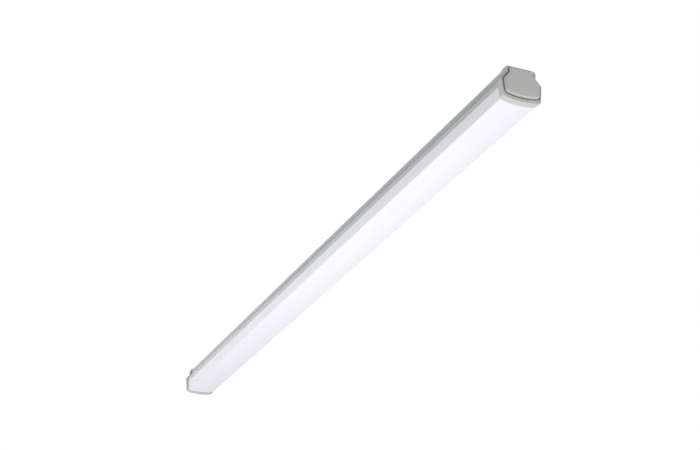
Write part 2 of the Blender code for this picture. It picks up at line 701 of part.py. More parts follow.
def build_gasket(name, end, material):
    """The soft frame between the web and the tube's end."""
    outline = whole(body_half(GASKET_INSET))
    half = GLAND_CORNER_RADIUS + WINDOW_SIDE_SPACE
    corners = [
        Vector((half, -WINDOW_TOP_DEPTH)),
        Vector((half, -WINDOW_BOTTOM_DEPTH)),
        Vector((-half, -WINDOW_BOTTOM_DEPTH)),
        Vector((-half, -WINDOW_TOP_DEPTH)),
    ]
    window = []
    for index, corner in enumerate(corners):
        onward = corners[(index + 1) % len(corners)]
        window += fillet(corners[index - 1], corner, onward, WINDOW_RADIUS, SMALL_ARC_STEPS)
    holes = [[(point.x, point.y) for point in window]]
    holes += [circle(y, z, CAP_SCREW_RADIUS + GAP, SCREW_SEGMENTS) for y, z in cap_screw_places()]
    outer_face = -WEB_THICKNESS - GAP
    gasket = prism(name, outline, outer_face - GASKET_THICKNESS, outer_face, material, holes)
    return place_at_end(gasket, end)


def build_cap_screw_mesh(material):
    """A pan head screw along X with a cross recess, with its head resting on the web."""
    under = GAP
    top = under + CAP_SCREW_HEAD_HEIGHT
    profile = (
        (under - CAP_SCREW_LENGTH, 0.0),
        (under - CAP_SCREW_LENGTH + CAP_SCREW_RADIUS, CAP_SCREW_RADIUS),
        (under, CAP_SCREW_RADIUS),
        (under, CAP_SCREW_HEAD_RADIUS),
        (under + CAP_SCREW_HEAD_HEIGHT / 2, CAP_SCREW_HEAD_RADIUS),
        (top, CAP_SCREW_HEAD_RADIUS - CAP_SCREW_HEAD_HEIGHT / 2),
        (top, 0.0),
    )
    screw = turned("cap_screw", profile, SCREW_SEGMENTS, material)
    half_width = CAP_SCREW_RECESS_WIDTH / 2
    half_span = CAP_SCREW_RECESS_SPAN / 2
    low_x = top - CAP_SCREW_RECESS_DEPTH
    high_x = top + OVERRUN
    screw = boolean(screw, box("slot", (low_x, -half_width, -half_span), (high_x, half_width, half_span)))
    screw = boolean(screw, box("slot", (low_x, -half_span, -half_width), (high_x, half_span, half_width)))
    mesh = screw.data
    bpy.data.objects.remove(screw)
    return mesh


def build_end(end, materials, screw_mesh):
    """Frame, cover, gasket and screws of one end cap."""
    side = "near" if end > 0 else "far"
    gland = end < 0
    build_cap_frame(f"{side}_cap_frame", end, materials["cap"], gland)
    build_cap_cover(f"{side}_cap_cover", end, materials["cap"], gland)
    build_gasket(f"{side}_gasket", end, materials["silicone"])
    for number, (y, z) in enumerate(cap_screw_places(), 1):
        screw = bpy.data.objects.new(f"{side}_cap_screw_{number}", screw_mesh)
        bpy.context.scene.collection.objects.link(screw)
        screw.location = (end * WEB_X, y, z)
        screw.rotation_euler.z = 0.0 if end > 0 else math.pi


# Gear tray and LED boards

def board_centres():
    first = -BOARDS_END_X + BOARD_LENGTH / 2
    return [first + number * (BOARD_LENGTH + BOARD_SPACING) for number in range(BOARD_COUNT)]


def rivet_places():
    reach = BOARD_LENGTH * RIVET_PLACE_SHARE
    return [centre + side * reach for centre in board_centres() for side in (-1, 1)]


def driver_screw_places():
    return [DRIVER_START_X - DRIVER_EAR / 2, DRIVER_END_X + DRIVER_EAR / 2]


def lead_drop_x():
    return DRIVER_END_X + LEAD_DROP_SPACE


def lead_drop_y():
    return RIVET_OFFSET + RIVET_TIP_RADIUS + LEAD_DROP_CLEARANCE + LEAD_DROP_RADIUS


def earth_x():
    return BLOCK_BACK_X + EARTH_SPACE


def build_tray(material):
    inner = whole(body_half(HOUSING_WALL))
    edge_top = TRAY_EDGE_Z + SHEET
    edge_half = min(half_at(inner, TRAY_EDGE_Z), half_at(inner, edge_top)) - TRAY_EDGE_GAP
    under = [(edge_half, TRAY_EDGE_Z), (TRAY_LEG_OUT, TRAY_EDGE_Z), (TRAY_LEG_OUT, TRAY_BASE_Z)]
    over = [(TRAY_LEG_IN, TRAY_TOP_Z), (TRAY_LEG_IN, edge_top), (edge_half, edge_top)]
    mirrored = [(-y, z) for y, z in reversed(over + under)]
    outline = under + mirrored[:len(under)] + mirrored[len(under):] + over
    tray = prism("gear_tray", outline, -TRAY_END_X, TRAY_END_X, material)
    tab_low = -LOW_SCREW_DEPTH - TAB_EDGE
    hole_radius = CAP_SCREW_RADIUS + GAP
    for end in (1, -1):
        near_x, far_x = sorted((end * TAB_X, end * (TAB_X + TAB_THICKNESS)))
        tab = box("tab", (near_x, -TAB_HALF, tab_low), (far_x, TAB_HALF, TRAY_TOP_Z - SHEET / 2))
        tray = boolean(tray, tab, "UNION")
        hole = rod(near_x - OVERRUN, far_x + OVERRUN, 0.0, -LOW_SCREW_DEPTH, hole_radius, SCREW_SEGMENTS)
        tray = boolean(tray, hole)
    holes = [(x, RIVET_OFFSET, RIVET_RADIUS + GAP) for x in rivet_places()]
    holes += [(x, 0.0, SMALL_SCREW_RADIUS + GAP) for x in driver_screw_places()]
    holes.append((earth_x(), EARTH_OFFSET, SMALL_SCREW_RADIUS + GAP))
    holes.append((lead_drop_x(), lead_drop_y(), LEAD_DROP_RADIUS))
    for x, y, radius in holes:
        hole = upright_rod(x, y, TRAY_BASE_Z - OVERRUN, TRAY_TOP_Z + OVERRUN, radius, SCREW_SEGMENTS)
        tray = boolean(tray, hole)
    return tray


def build_board(number, centre, material):
    """A circuit board with its row of LED packages underneath."""
    pitch = BOARD_LENGTH / BOARD_LED_COUNT
    cuts = [-BOARD_LENGTH / 2]
    for led in range(BOARD_LED_COUNT):
        middle = -BOARD_LENGTH / 2 + (led + 0.5) * pitch
        cuts += [middle - LED_LENGTH / 2, middle + LED_LENGTH / 2]
    cuts.append(BOARD_LENGTH / 2)
    rows = (-BOARD_HALF, -LED_WIDTH / 2, LED_WIDTH / 2, BOARD_HALF)
    bm = bmesh.new()
    grid = [[bm.verts.new((x, y, BOARD_LOW_Z)) for y in rows] for x in cuts]
    last = len(cuts) - 1
    for column in range(last):
        here, onwards = grid[column], grid[column + 1]
        for row in range(3):
            corners = [here[row], here[row + 1], onwards[row + 1], onwards[row]]
            if row != 1 or column % 2 == 0:
                bm.faces.new(corners)
                continue
            lower = [bm.verts.new((*corner.co.xy, BOARD_LOW_Z - LED_HEIGHT)) for corner in corners]
            bm.faces.new(lower)
            for index in range(4):
                onward = (index + 1) % 4
                bm.faces.new((corners[index], corners[onward], lower[onward], lower[index]))
    edge_places = ((0, 0), (0, 3), (last, 3), (last, 0))
    top = [bm.verts.new((*grid[column][row].co.xy, BOARD_TOP_Z)) for column, row in edge_places]
    bm.faces.new(top)
    bm.faces.new([top[0], top[1], *[grid[0][row] for row in (3, 2, 1, 0)]])
    bm.faces.new([top[2], top[3], *grid[last]])
    bm.faces.new([top[1], top[2], *[grid[column][3] for column in range(last, -1, -1)]])
    bm.faces.new([top[3], top[0], *[grid[column][0] for column in range(last + 1)]])
    board = finish(bm, f"led_board_{number}", material)
    radius = RIVET_RADIUS + GAP
    for side in (-1, 1):
        x = side * BOARD_LENGTH * RIVET_PLACE_SHARE
        low_z = BOARD_LOW_Z - OVERRUN
        hole = upright_rod(x, RIVET_OFFSET, low_z, BOARD_TOP_Z + OVERRUN, radius, SCREW_SEGMENTS)
        board = boolean(board, hole)
    board.location.x = centre
    return board


def build_links(material):
    """Plug-in links across the spaces between neighbouring boards."""
    high_z = BOARD_LOW_Z - GAP
    low = (-LINK_LENGTH / 2, LINK_OFFSET - LINK_WIDTH / 2, high_z - LINK_HEIGHT)
    high = (LINK_LENGTH / 2, LINK_OFFSET + LINK_WIDTH / 2, high_z)
    centres = board_centres()
    for number, (left, right) in enumerate(zip(centres, centres[1:]), 1):
        link = box(f"board_link_{number}", low, high, material, LINK_EDGE)
        link.location.x = (left + right) / 2


def build_rivets(material):
    """Snap rivets, each with its head under the board and its spread tip above the tray."""
    head_z = BOARD_LOW_Z - GAP
    tip_z = TRAY_TOP_Z + GAP
    profile = (
        (head_z - RIVET_HEAD_HEIGHT, 0.0),
        (head_z - RIVET_HEAD_HEIGHT, RIVET_HEAD_RADIUS - RIVET_HEAD_HEIGHT / 2),
        (head_z, RIVET_HEAD_RADIUS),
        (head_z, RIVET_RADIUS),
        (tip_z, RIVET_RADIUS),
        (tip_z, RIVET_TIP_RADIUS),
        (tip_z + RIVET_TIP_HEIGHT, RIVET_RADIUS),
        (tip_z + RIVET_TIP_HEIGHT, 0.0),
    )
    first = turned("board_rivet_1", profile, RIVET_SEGMENTS, material)
    first.data.transform(Matrix.Rotation(-math.pi / 2, 4, "Y"))
    for number, x in enumerate(rivet_places(), 1):
        rivet = first
        if number > 1:
            rivet = bpy.data.objects.new(f"board_rivet_{number}", first.data)
            bpy.context.scene.collection.objects.link(rivet)
        rivet.location = (x, RIVET_OFFSET, 0.0)


# Driver

def build_driver_case(material):
    """An open tray-like case on two feet, with a screw ear at each end."""
    half = DRIVER_HALF
    foot_in = half - DRIVER_FOOT_WIDTH
    floor = DRIVER_FLOOR_Z
    outline = [(half, DRIVER_TOP_Z), (half, SEAT_Z), (foot_in, SEAT_Z), (foot_in, floor)]
    outline += [(-foot_in, floor), (-foot_in, SEAT_Z), (-half, SEAT_Z), (-half, DRIVER_TOP_Z)]
    case = prism("driver_case", outline, DRIVER_START_X, DRIVER_END_X, material)
    low = (DRIVER_START_X + DRIVER_WALL, -half + DRIVER_WALL, floor + DRIVER_WALL)
    high = (DRIVER_END_X - DRIVER_WALL, half - DRIVER_WALL, DRIVER_TOP_Z + OVERRUN)
    case = boolean(case, box("hollow", low, high))
    ear_half = -RIVET_OFFSET - RIVET_TIP_RADIUS - RIVET_CLEARANCE
    for screw_x, wall_x in zip(driver_screw_places(), (DRIVER_START_X, DRIVER_END_X)):
        outwards = math.copysign(1, screw_x - wall_x)
        low_x, high_x = sorted((wall_x - outwards * DRIVER_WALL / 2, wall_x + outwards * DRIVER_EAR))
        ear = box("ear", (low_x, -ear_half, EAR_LOW_Z), (high_x, ear_half, EAR_TOP_Z))
        case = boolean(case, ear, "UNION")
        low_z, high_z = EAR_LOW_Z - OVERRUN, EAR_TOP_Z + OVERRUN
        hole = upright_rod(screw_x, 0.0, low_z, high_z, SMALL_SCREW_RADIUS + GAP, SCREW_SEGMENTS)
        case = boolean(case, hole)
    start_wall = (DRIVER_START_X - OVERRUN, DRIVER_START_X + DRIVER_WALL + OVERRUN)
    end_wall = (DRIVER_END_X - DRIVER_WALL - OVERRUN, DRIVER_END_X + OVERRUN)
    for side in (-1, 1):
        mains_y = side * POLE_PITCH / 2
        led_y = lead_drop_y() + side * LED_LEAD_SPREAD
        mains_hole = rod(*start_wall, mains_y, LEAD_HOLE_Z, MAINS_LEAD_RADIUS + GAP, SCREW_SEGMENTS)
        case = boolean(case, mains_hole)
        led_hole = rod(*end_wall, led_y, LEAD_HOLE_Z, LED_LEAD_RADIUS + GAP, SCREW_SEGMENTS)
        case = boolean(case, led_hole)
    return case


def build_driver_lid(material):
    """A flat lid with a lip that drops inside the case's walls."""
    low_z = DRIVER_TOP_Z + GAP
    high_z = low_z + DRIVER_LID_THICKNESS
    lip_half = DRIVER_HALF - DRIVER_WALL - GAP
    lip_in = lip_half - DRIVER_LID_LIP_WALL
    lip_z = DRIVER_TOP_Z - DRIVER_LID_LIP
    outline = [(DRIVER_HALF, high_z), (DRIVER_HALF, low_z), (lip_half, low_z), (lip_half, lip_z)]
    outline += [(lip_in, lip_z), (lip_in, low_z)]
    outline += [(-y, z) for y, z in reversed(outline)]
    lid = prism("driver_lid", outline, DRIVER_START_X, DRIVER_END_X, material)
    for ends in (
        (DRIVER_START_X - OVERRUN, DRIVER_START_X + DRIVER_WALL + GAP),
        (DRIVER_END_X - DRIVER_WALL - GAP, DRIVER_END_X + OVERRUN),
    ):
        reach = DRIVER_HALF + OVERRUN
        notch = box("notch", (ends[0], -reach, lip_z - OVERRUN), (ends[1], reach, low_z))
        lid = boolean(lid, notch)
    return lid


def build_driver_circuit(material):
    """The circuit board in the case, with its tall parts on it."""
    low_z = DRIVER_FLOOR_Z + DRIVER_WALL + GAP
    floor_z = low_z + CIRCUIT_STAND
    half = DRIVER_HALF - DRIVER_WALL - GAP
    inset_x = DRIVER_WALL + LEAD_SEAT
    start = DRIVER_START_X + inset_x
    end = DRIVER_END_X - inset_x
    top_z = floor_z + CIRCUIT_THICKNESS
    circuit = box("driver_circuit_board", (start, -half, floor_z), (end, half, top_z), material)
    middle = (start + end) / 2
    length = end - start
    room = DRIVER_TOP_Z - top_z
    for place, length_share, height_share in zip(
        CIRCUIT_PART_PLACE_SHARES, CIRCUIT_PART_LENGTH_SHARES, CIRCUIT_PART_HEIGHT_SHARES
    ):
        x = middle + place * length
        reach = length_share * length / 2
        low = (x - reach, -CIRCUIT_PART_HALF, floor_z + CIRCUIT_THICKNESS / 2)
        high = (x + reach, CIRCUIT_PART_HALF, top_z + height_share * room)
        circuit = boolean(circuit, box("tall_part", low, high), "UNION")
    for x in (start + CIRCUIT_STAND, end - CIRCUIT_STAND):
        low = (x - CIRCUIT_STAND / 2, -CIRCUIT_PART_HALF, low_z)
        high = (x + CIRCUIT_STAND / 2, CIRCUIT_PART_HALF, floor_z + CIRCUIT_THICKNESS / 2)
        circuit = boolean(circuit, box("stand", low, high), "UNION")
    return circuit


def build_small_screw(name, x, y, seat_z, material):
    """A slotted pan head screw that points down."""
    tip = TRAY_BASE_Z
    profile = (
        (tip, 0.0),
        (tip + SMALL_SCREW_RADIUS / 2, SMALL_SCREW_RADIUS),
        (seat_z, SMALL_SCREW_RADIUS),
        (seat_z, SMALL_SCREW_HEAD_RADIUS),
        (seat_z + SMALL_SCREW_HEAD_HEIGHT / 2, SMALL_SCREW_HEAD_RADIUS),
        (seat_z + SMALL_SCREW_HEAD_HEIGHT, SMALL_SCREW_HEAD_RADIUS - SMALL_SCREW_HEAD_HEIGHT / 2),
        (seat_z + SMALL_SCREW_HEAD_HEIGHT, 0.0),
    )
    screw = turned(name, profile, RIVET_SEGMENTS, material)
    screw.data.transform(Matrix.Rotation(-math.pi / 2, 4, "Y"))
    top = seat_z + SMALL_SCREW_HEAD_HEIGHT
    reach = SMALL_SCREW_HEAD_RADIUS + OVERRUN
    half_slot = SMALL_SCREW_SLOT / 2
    floor = top - SMALL_SCREW_HEAD_HEIGHT / 2
    screw = boolean(screw, box("slot", (-half_slot, -reach, floor), (half_slot, reach, top + OVERRUN)))
    screw.location = (x, y, 0.0)
    return screw


# Terminal block

def pole_places():
    return {"live": -POLE_PITCH, "neutral": 0.0, "earth": POLE_PITCH}


def build_terminal_block(material):
    half = POLE_PITCH + CHAMBER_HALF + BLOCK_SIDE_WALL
    slot_half_height = BUTTON_HEIGHT / 2 + GAP
    high = (BLOCK_BACK_X, half, BUTTON_Z + slot_half_height + BLOCK_ROOF)
    block = box("terminal_block", (BLOCK_FRONT_X, -half, SEAT_Z), high, material, BLOCK_EDGE)
    chamber_start = BLOCK_FRONT_X + ENTRY_DEPTH
    chamber_end = chamber_start + CHAMBER_LENGTH
    slot_end = BLOCK_FRONT_X + BUTTON_INSIDE + BUTTON_TRAVEL + GAP
    for y in pole_places().values():
        entry_ends = (BLOCK_FRONT_X - OVERRUN, chamber_start + OVERRUN)
        block = boolean(block, rod(*entry_ends, y, -GLAND_DEPTH, ENTRY_RADIUS, SCREW_SEGMENTS))
        low = (chamber_start, y - CHAMBER_HALF, -GLAND_DEPTH - CHAMBER_HEIGHT / 2)
        high = (chamber_end, y + CHAMBER_HALF, -GLAND_DEPTH + CHAMBER_HEIGHT / 2)
        block = boolean(block, box("chamber", low, high))
        lead_ends = (chamber_end - OVERRUN, BLOCK_BACK_X + OVERRUN)
        lead_radius = MAINS_LEAD_RADIUS + GAP
        block = boolean(block, rod(*lead_ends, y, -GLAND_DEPTH, lead_radius, SCREW_SEGMENTS))
        half_width = BUTTON_WIDTH / 2 + GAP
        low = (BLOCK_FRONT_X - OVERRUN, y - half_width, BUTTON_Z - slot_half_height)
        high = (slot_end, y + half_width, BUTTON_Z + slot_half_height)
        block = boolean(block, box("button_slot", low, high))
    return block


def build_terminal_poles(materials):
    """The clamp and the release button of each pole."""
    start = BLOCK_FRONT_X + ENTRY_DEPTH + GAP
    end = start + CHAMBER_LENGTH - 2 * GAP
    half = CHAMBER_HALF - GAP
    low_z = -CHAMBER_HEIGHT / 2 + GAP
    high_z = CHAMBER_HEIGHT / 2 - GAP
    inner_half = half - CLAMP_THICKNESS
    outline = [(half, high_z), (half, low_z), (-half, low_z), (-half, high_z)]
    outline += [(-inner_half, high_z), (-inner_half, low_z + CLAMP_THICKNESS)]
    outline += [(inner_half, low_z + CLAMP_THICKNESS), (inner_half, high_z)]
    for pole, y in pole_places().items():
        clamp = prism(f"terminal_clamp_{pole}", outline, start, end, materials["brass"])
        clamp.location = (0.0, y, -GLAND_DEPTH)
        low = (-BUTTON_STANDOUT, -BUTTON_WIDTH / 2, -BUTTON_HEIGHT / 2)
        high = (BUTTON_INSIDE, BUTTON_WIDTH / 2, BUTTON_HEIGHT / 2)
        button = box(f"release_button_{pole}", low, high, materials["button"], BLOCK_EDGE / 2)
        button.location = (BLOCK_FRONT_X, y, BUTTON_Z)


# Internal leads

def smooth_route(points):
    """A smooth curve through the route's points."""
    ends = [2 * points[0] - points[1], *points, 2 * points[-1] - points[-2]]
    route = []
    for before, start, end, after in zip(ends, ends[1:], ends[2:], ends[3:]):
        for step in range(LEAD_STEPS):
            t = step / LEAD_STEPS
            pull = (end - before) * t + (2 * before - 5 * start + 4 * end - after) * t ** 2
            pull += (3 * start - before - 3 * end + after) * t ** 3
            route.append(start + pull / 2)
    return route + [points[-1]]


def build_lead(name, points, radius, material):
    """A lead through the route's points."""
    curve = bpy.data.curves.new(name, "CURVE")
    curve.dimensions = "3D"
    curve.bevel_depth = radius
    curve.bevel_resolution = LEAD_BEVEL_STEPS
    curve.use_fill_caps = True
    route = smooth_route([Vector(point) for point in points])
    spline = curve.splines.new("POLY")
    spline.points.add(len(route) - 1)
    for place, point in zip(spline.points, route):
        place.co = (*point, 1.0)
    curve.materials.append(material)
    lead = bpy.data.objects.new(name, curve)
    bpy.context.scene.collection.objects.link(lead)
    return lead


def build_mains_leads(materials):
    """Live and neutral from the terminal block to the driver."""
    start = BLOCK_BACK_X - LEAD_SEAT
    end = DRIVER_START_X + LEAD_SEAT
    bend = (DRIVER_START_X - BLOCK_BACK_X) * LEAD_BEND_SHARE
    middle = (BLOCK_BACK_X + DRIVER_START_X) / 2
    routes = {"live": -POLE_PITCH / 2, "neutral": POLE_PITCH / 2}
    for pole, end_y in routes.items():
        start_y = pole_places()[pole]
        points = (
            (start, start_y, -GLAND_DEPTH),
            (BLOCK_BACK_X + bend, start_y, -GLAND_DEPTH),
            (middle, (start_y + end_y) / 2, (LEAD_HOLE_Z - GLAND_DEPTH) / 2),
            (DRIVER_START_X - bend, end_y, LEAD_HOLE_Z),
            (end, end_y, LEAD_HOLE_Z),
        )
        build_lead(f"{pole}_lead", points, MAINS_LEAD_RADIUS, materials[pole])


def build_earth(materials):
    """The earth lead, its ring tag and its screw on the tray."""
    x = earth_x()
    seat = SEAT_Z
    top = seat + EARTH_TAG_THICKNESS
    ring = circle(0.0, 0.0, EARTH_TAG_RADIUS, SCREW_SEGMENTS)
    hole = circle(0.0, 0.0, SMALL_SCREW_RADIUS + GAP, RIVET_SEGMENTS)
    tag = prism("earth_tag", ring, seat, top, materials["brass"], [hole])
    tag.data.transform(Matrix.Rotation(-math.pi / 2, 4, "Y"))
    barrel_radius = MAINS_LEAD_RADIUS + GAP + EARTH_TAG_THICKNESS
    barrel_z = seat + barrel_radius
    barrel_end = -SMALL_SCREW_HEAD_RADIUS - GAP
    outline = circle(0.0, barrel_z, barrel_radius, SCREW_SEGMENTS)
    bore = circle(0.0, barrel_z, MAINS_LEAD_RADIUS + GAP, RIVET_SEGMENTS)
    barrel = prism("barrel", outline, barrel_end - EARTH_BARREL_LENGTH, barrel_end, None, [bore])
    tag = boolean(tag, barrel, "UNION")
    tag.location = (x, EARTH_OFFSET, 0.0)
    build_small_screw("earth_screw", x, EARTH_OFFSET, top + GAP, materials["steel"])
    start = BLOCK_BACK_X - LEAD_SEAT
    y = pole_places()["earth"]
    mouth = x + barrel_end - EARTH_BARREL_LENGTH
    points = (
        (start, y, -GLAND_DEPTH),
        (BLOCK_BACK_X + LEAD_SEAT, y, -GLAND_DEPTH),
        ((BLOCK_BACK_X + LEAD_SEAT + mouth) / 2, (y + EARTH_OFFSET) / 2, (barrel_z - GLAND_DEPTH) / 2),
        (mouth - LEAD_SEAT, EARTH_OFFSET, barrel_z),
        (mouth, EARTH_OFFSET, barrel_z),
        (mouth + LEAD_SEAT, EARTH_OFFSET, barrel_z),
    )
    build_lead("earth_lead", points, MAINS_LEAD_RADIUS, materials["earth"])


def build_led_leads(materials):
    """The two leads from the driver down through the tray to the pads on the back of a board."""
    start = DRIVER_END_X - LEAD_SEAT
    drop = lead_drop_x()
    end_z = BOARD_TOP_Z + GAP
    for name, side in (("positive", 1), ("negative", -1)):
        y = lead_drop_y() + side * LED_LEAD_SPREAD
        points = (
            (start, y, LEAD_HOLE_Z),
            (DRIVER_END_X + LEAD_SEAT, y, LEAD_HOLE_Z),
            (drop - LEAD_SEAT, y, LEAD_HOLE_Z + LEAD_SEAT / 2),
            (drop, y, (LEAD_HOLE_Z + end_z) / 2),
            (drop, y, end_z),
        )
        build_lead(f"led_{name}_lead", points, LED_LEAD_RADIUS, materials[name])


# Cable gland

def build_gland_washer(material):
    bore = GLAND_THREAD_RADIUS + GAP
    low = GAP
    high = low + GLAND_WASHER_THICKNESS
    profile = ((low, bore), (high, bore), (high, GLAND_WASHER_RADIUS), (low, GLAND_WASHER_RADIUS))
    washer = turned("gland_washer", profile, GLAND_SEGMENTS, material, closed=True)
    return place_at_end(washer, -1, -GLAND_DEPTH)


def gland_faces():
    """Places along the gland's axis: its hexagon's back and front, and its neck's end."""
    back = GAP + GLAND_WASHER_THICKNESS + GAP
    front = back + GLAND_HEX_THICKNESS
    return back, front, front + GLAND_NECK_LENGTH


def build_gland_body(material):
    """Threaded tube with a hexagon, and a wider throat that holds the seal."""
    back, front, neck_end = gland_faces()
    inner_end = -WEB_THICKNESS - GLAND_INNER_LENGTH
    throat = neck_end - GLAND_THROAT_DEPTH
    profile = (
        (inner_end, GLAND_BORE_RADIUS),
        (inner_end, GLAND_THREAD_RADIUS),
        (neck_end, GLAND_THREAD_RADIUS),
        (neck_end, GLAND_THROAT_RADIUS),
        (throat, GLAND_THROAT_RADIUS),
        (throat, GLAND_BORE_RADIUS),
    )
    body = turned("gland_body", profile, GLAND_SEGMENTS, material, closed=True)
    collar_bore = circle(0.0, 0.0, (GLAND_THREAD_RADIUS + GLAND_THROAT_RADIUS) / 2, GLAND_SEGMENTS)
    body = boolean(body, prism("flange", gland_hexagon(), back, front, None, [collar_bore]), "UNION")
    return place_at_end(body, -1, -GLAND_DEPTH)


def build_gland_seal(material):
    """The rubber sleeve in the body's throat."""
    neck_end = gland_faces()[2]
    low = neck_end - GLAND_THROAT_DEPTH + GAP
    high = low + GLAND_SEAL_LENGTH
    radius = GLAND_THROAT_RADIUS - GAP
    profile = ((low, GLAND_SEAL_BORE_RADIUS), (low, radius), (high, radius), (high, GLAND_SEAL_BORE_RADIUS))
    seal = turned("gland_seal", profile, GLAND_SEGMENTS, material, closed=True)
    return place_at_end(seal, -1, -GLAND_DEPTH)


def ring_start():
    """Where the slip ring's inner face is while the dome nut is slack."""
    seal_end = gland_faces()[2] - GLAND_THROAT_DEPTH + GAP + GLAND_SEAL_LENGTH
    return seal_end + GAP + GLAND_TRAVEL


def build_gland_ring(material):
    """The slip ring between the dome nut and the seal."""
    low = ring_start()
    high = low + GLAND_RING_THICKNESS
    radius = GLAND_THROAT_RADIUS - GAP
    bore = GLAND_SEAL_BORE_RADIUS + GAP
    profile = ((low, bore), (low, radius), (high, radius), (high, bore))
    ring = turned("gland_ring", profile, GLAND_SEGMENTS, material, closed=True)
    return place_at_end(ring, -1, -GLAND_DEPTH)


def build_gland_nut(material):
    """The dome nut: a hexagon with a rounded nose, hollow over the body's neck."""
    back = gland_faces()[1] + GAP + GLAND_TRAVEL
    shoulder = ring_start() + GLAND_RING_THICKNESS + GAP
    nose = shoulder + GLAND_NOSE_THICKNESS
    reach = GLAND_CORNER_RADIUS - GLAND_NOSE_RADIUS
    dome_start = nose - GLAND_DOME_LENGTH
    clear_radius = GLAND_CORNER_RADIUS + OVERRUN
    dome = [(back, 0.0), (back, clear_radius), (dome_start, clear_radius)]
    for step in range(LARGE_ARC_STEPS + 1):
        turn = math.pi / 2 * step / LARGE_ARC_STEPS
        x = dome_start + GLAND_DOME_LENGTH * math.sin(turn)
        dome.append((x, GLAND_NOSE_RADIUS + reach * math.cos(turn)))
    dome.append((nose, 0.0))
    nut = turned("gland_nut", dome, GLAND_SEGMENTS, material)
    bar = prism("bar", gland_hexagon(), back - OVERRUN, nose + OVERRUN)
    nut = boolean(nut, bar, "INTERSECT")
    cavity_radius = GLAND_THREAD_RADIUS + GAP
    hollow = (
        (back - 2 * OVERRUN, 0.0),
        (back - 2 * OVERRUN, cavity_radius),
        (shoulder, cavity_radius),
        (shoulder, GLAND_BORE_RADIUS),
        (nose + 2 * OVERRUN, GLAND_BORE_RADIUS),
        (nose + 2 * OVERRUN, 0.0),
    )
    nut = boolean(nut, turned("hollow", hollow, GLAND_SEGMENTS))
    return place_at_end(nut, -1, -GLAND_DEPTH)


def build_gland_locknut(material):
    """The flat hexagon nut inside the web."""
    high = -WEB_THICKNESS - GAP
    bore = circle(0.0, 0.0, GLAND_THREAD_RADIUS + GAP, GLAND_SEGMENTS)
    low = high - GLAND_LOCKNUT_THICKNESS
    locknut = prism("gland_locknut", gland_hexagon(), low, high, material, [bore])
    return place_at_end(locknut, -1, -GLAND_DEPTH)


def make_materials():
    return {
        "housing": make_material("housing grey", (0.42, 0.43, 0.43), 0.45),
        "opal": make_material("opal", (0.88, 0.89, 0.92), 0.35),
        "cap": make_material("cap grey", (0.43, 0.43, 0.41), 0.50),
        "silicone": make_material("silicone", (0.72, 0.72, 0.70), 0.60),
        "tray": make_material("white sheet", (0.85, 0.85, 0.84), 0.40, 0.1),
        "board": make_material("board white", (0.90, 0.90, 0.88), 0.35),
        "link": make_material("link white", (0.86, 0.86, 0.82), 0.40),
        "rivet": make_material("rivet nylon", (0.80, 0.79, 0.74), 0.45),
        "driver": make_material("driver case", (0.82, 0.82, 0.81), 0.45),
        "circuit": make_material("circuit board", (0.10, 0.30, 0.14), 0.50),
        "block": make_material("terminal block", (0.78, 0.78, 0.76), 0.40),
        "button": make_material("button orange", (0.85, 0.32, 0.06), 0.40),
        "brass": make_material("brass", (0.80, 0.62, 0.28), 0.30, 1.0),
        "steel": make_material("stainless steel", (0.62, 0.62, 0.60), 0.30, 1.0),
        "gland": make_material("gland grey", (0.38, 0.38, 0.37), 0.45),
        "rubber": make_material("gland rubber", (0.05, 0.05, 0.05), 0.80),
        "live": make_material("brown insulation", (0.20, 0.09, 0.04), 0.45),
        "neutral": make_material("blue insulation", (0.04, 0.16, 0.52), 0.45),
        "earth": make_material("green insulation", (0.10, 0.42, 0.12), 0.45),
        "positive": make_material("red insulation", (0.60, 0.05, 0.04), 0.45),
        "negative": make_material("black insulation", (0.03, 0.03, 0.03), 0.45),
    }


def main():
    clear_scene()
    materials = make_materials()
    build_housing(materials["housing"])
    build_diffuser(materials["opal"])
    build_seal_strip("left_seal_strip", -1, materials["silicone"])
    build_seal_strip("right_seal_strip", 1, materials["silicone"])
    screw_mesh = build_cap_screw_mesh(materials["steel"])
    for end in (1, -1):
        build_end(end, materials, screw_mesh)
    build_tray(materials["tray"])
    for number, centre in enumerate(board_centres(), 1):
        build_board(number, centre, materials["board"])
    build_links(materials["link"])
    build_rivets(materials["rivet"])
    build_driver_case(materials["driver"])
    build_driver_lid(materials["driver"])
    build_driver_circuit(materials["circuit"])
    for number, x in enumerate(driver_screw_places(), 1):
        build_small_screw(f"driver_screw_{number}", x, 0.0, EAR_TOP_Z + GAP, materials["steel"])
    build_terminal_block(materials["block"])
    build_terminal_poles(materials)
    build_mains_leads(materials)
    build_earth(materials)
    build_led_leads(materials)
    build_gland_washer(materials["silicone"])
    build_gland_body(materials["gland"])
    build_gland_seal(materials["rubber"])
    build_gland_ring(materials["gland"])
    build_gland_nut(materials["gland"])
    build_gland_locknut(materials["gland"])


main()
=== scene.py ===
"""Looks of a slim vapor tight light fixture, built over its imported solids.

The housing and the diffuser are run along the tube by a Geometry Nodes tree, the end caps' covers are
lofted from their outline, and trees of their own spread the screws, the rivets and the LED windows.
The other solids keep their shape, some of them as copies with rounded edges, and every finish is
procedural.

Sizes are in metres. +X runs along the tube to the near end and +Z is up.
"""

import logging
import math
from dataclasses import dataclass
from enum import Enum

import bmesh
import bpy
from mathutils import Matrix, Vector


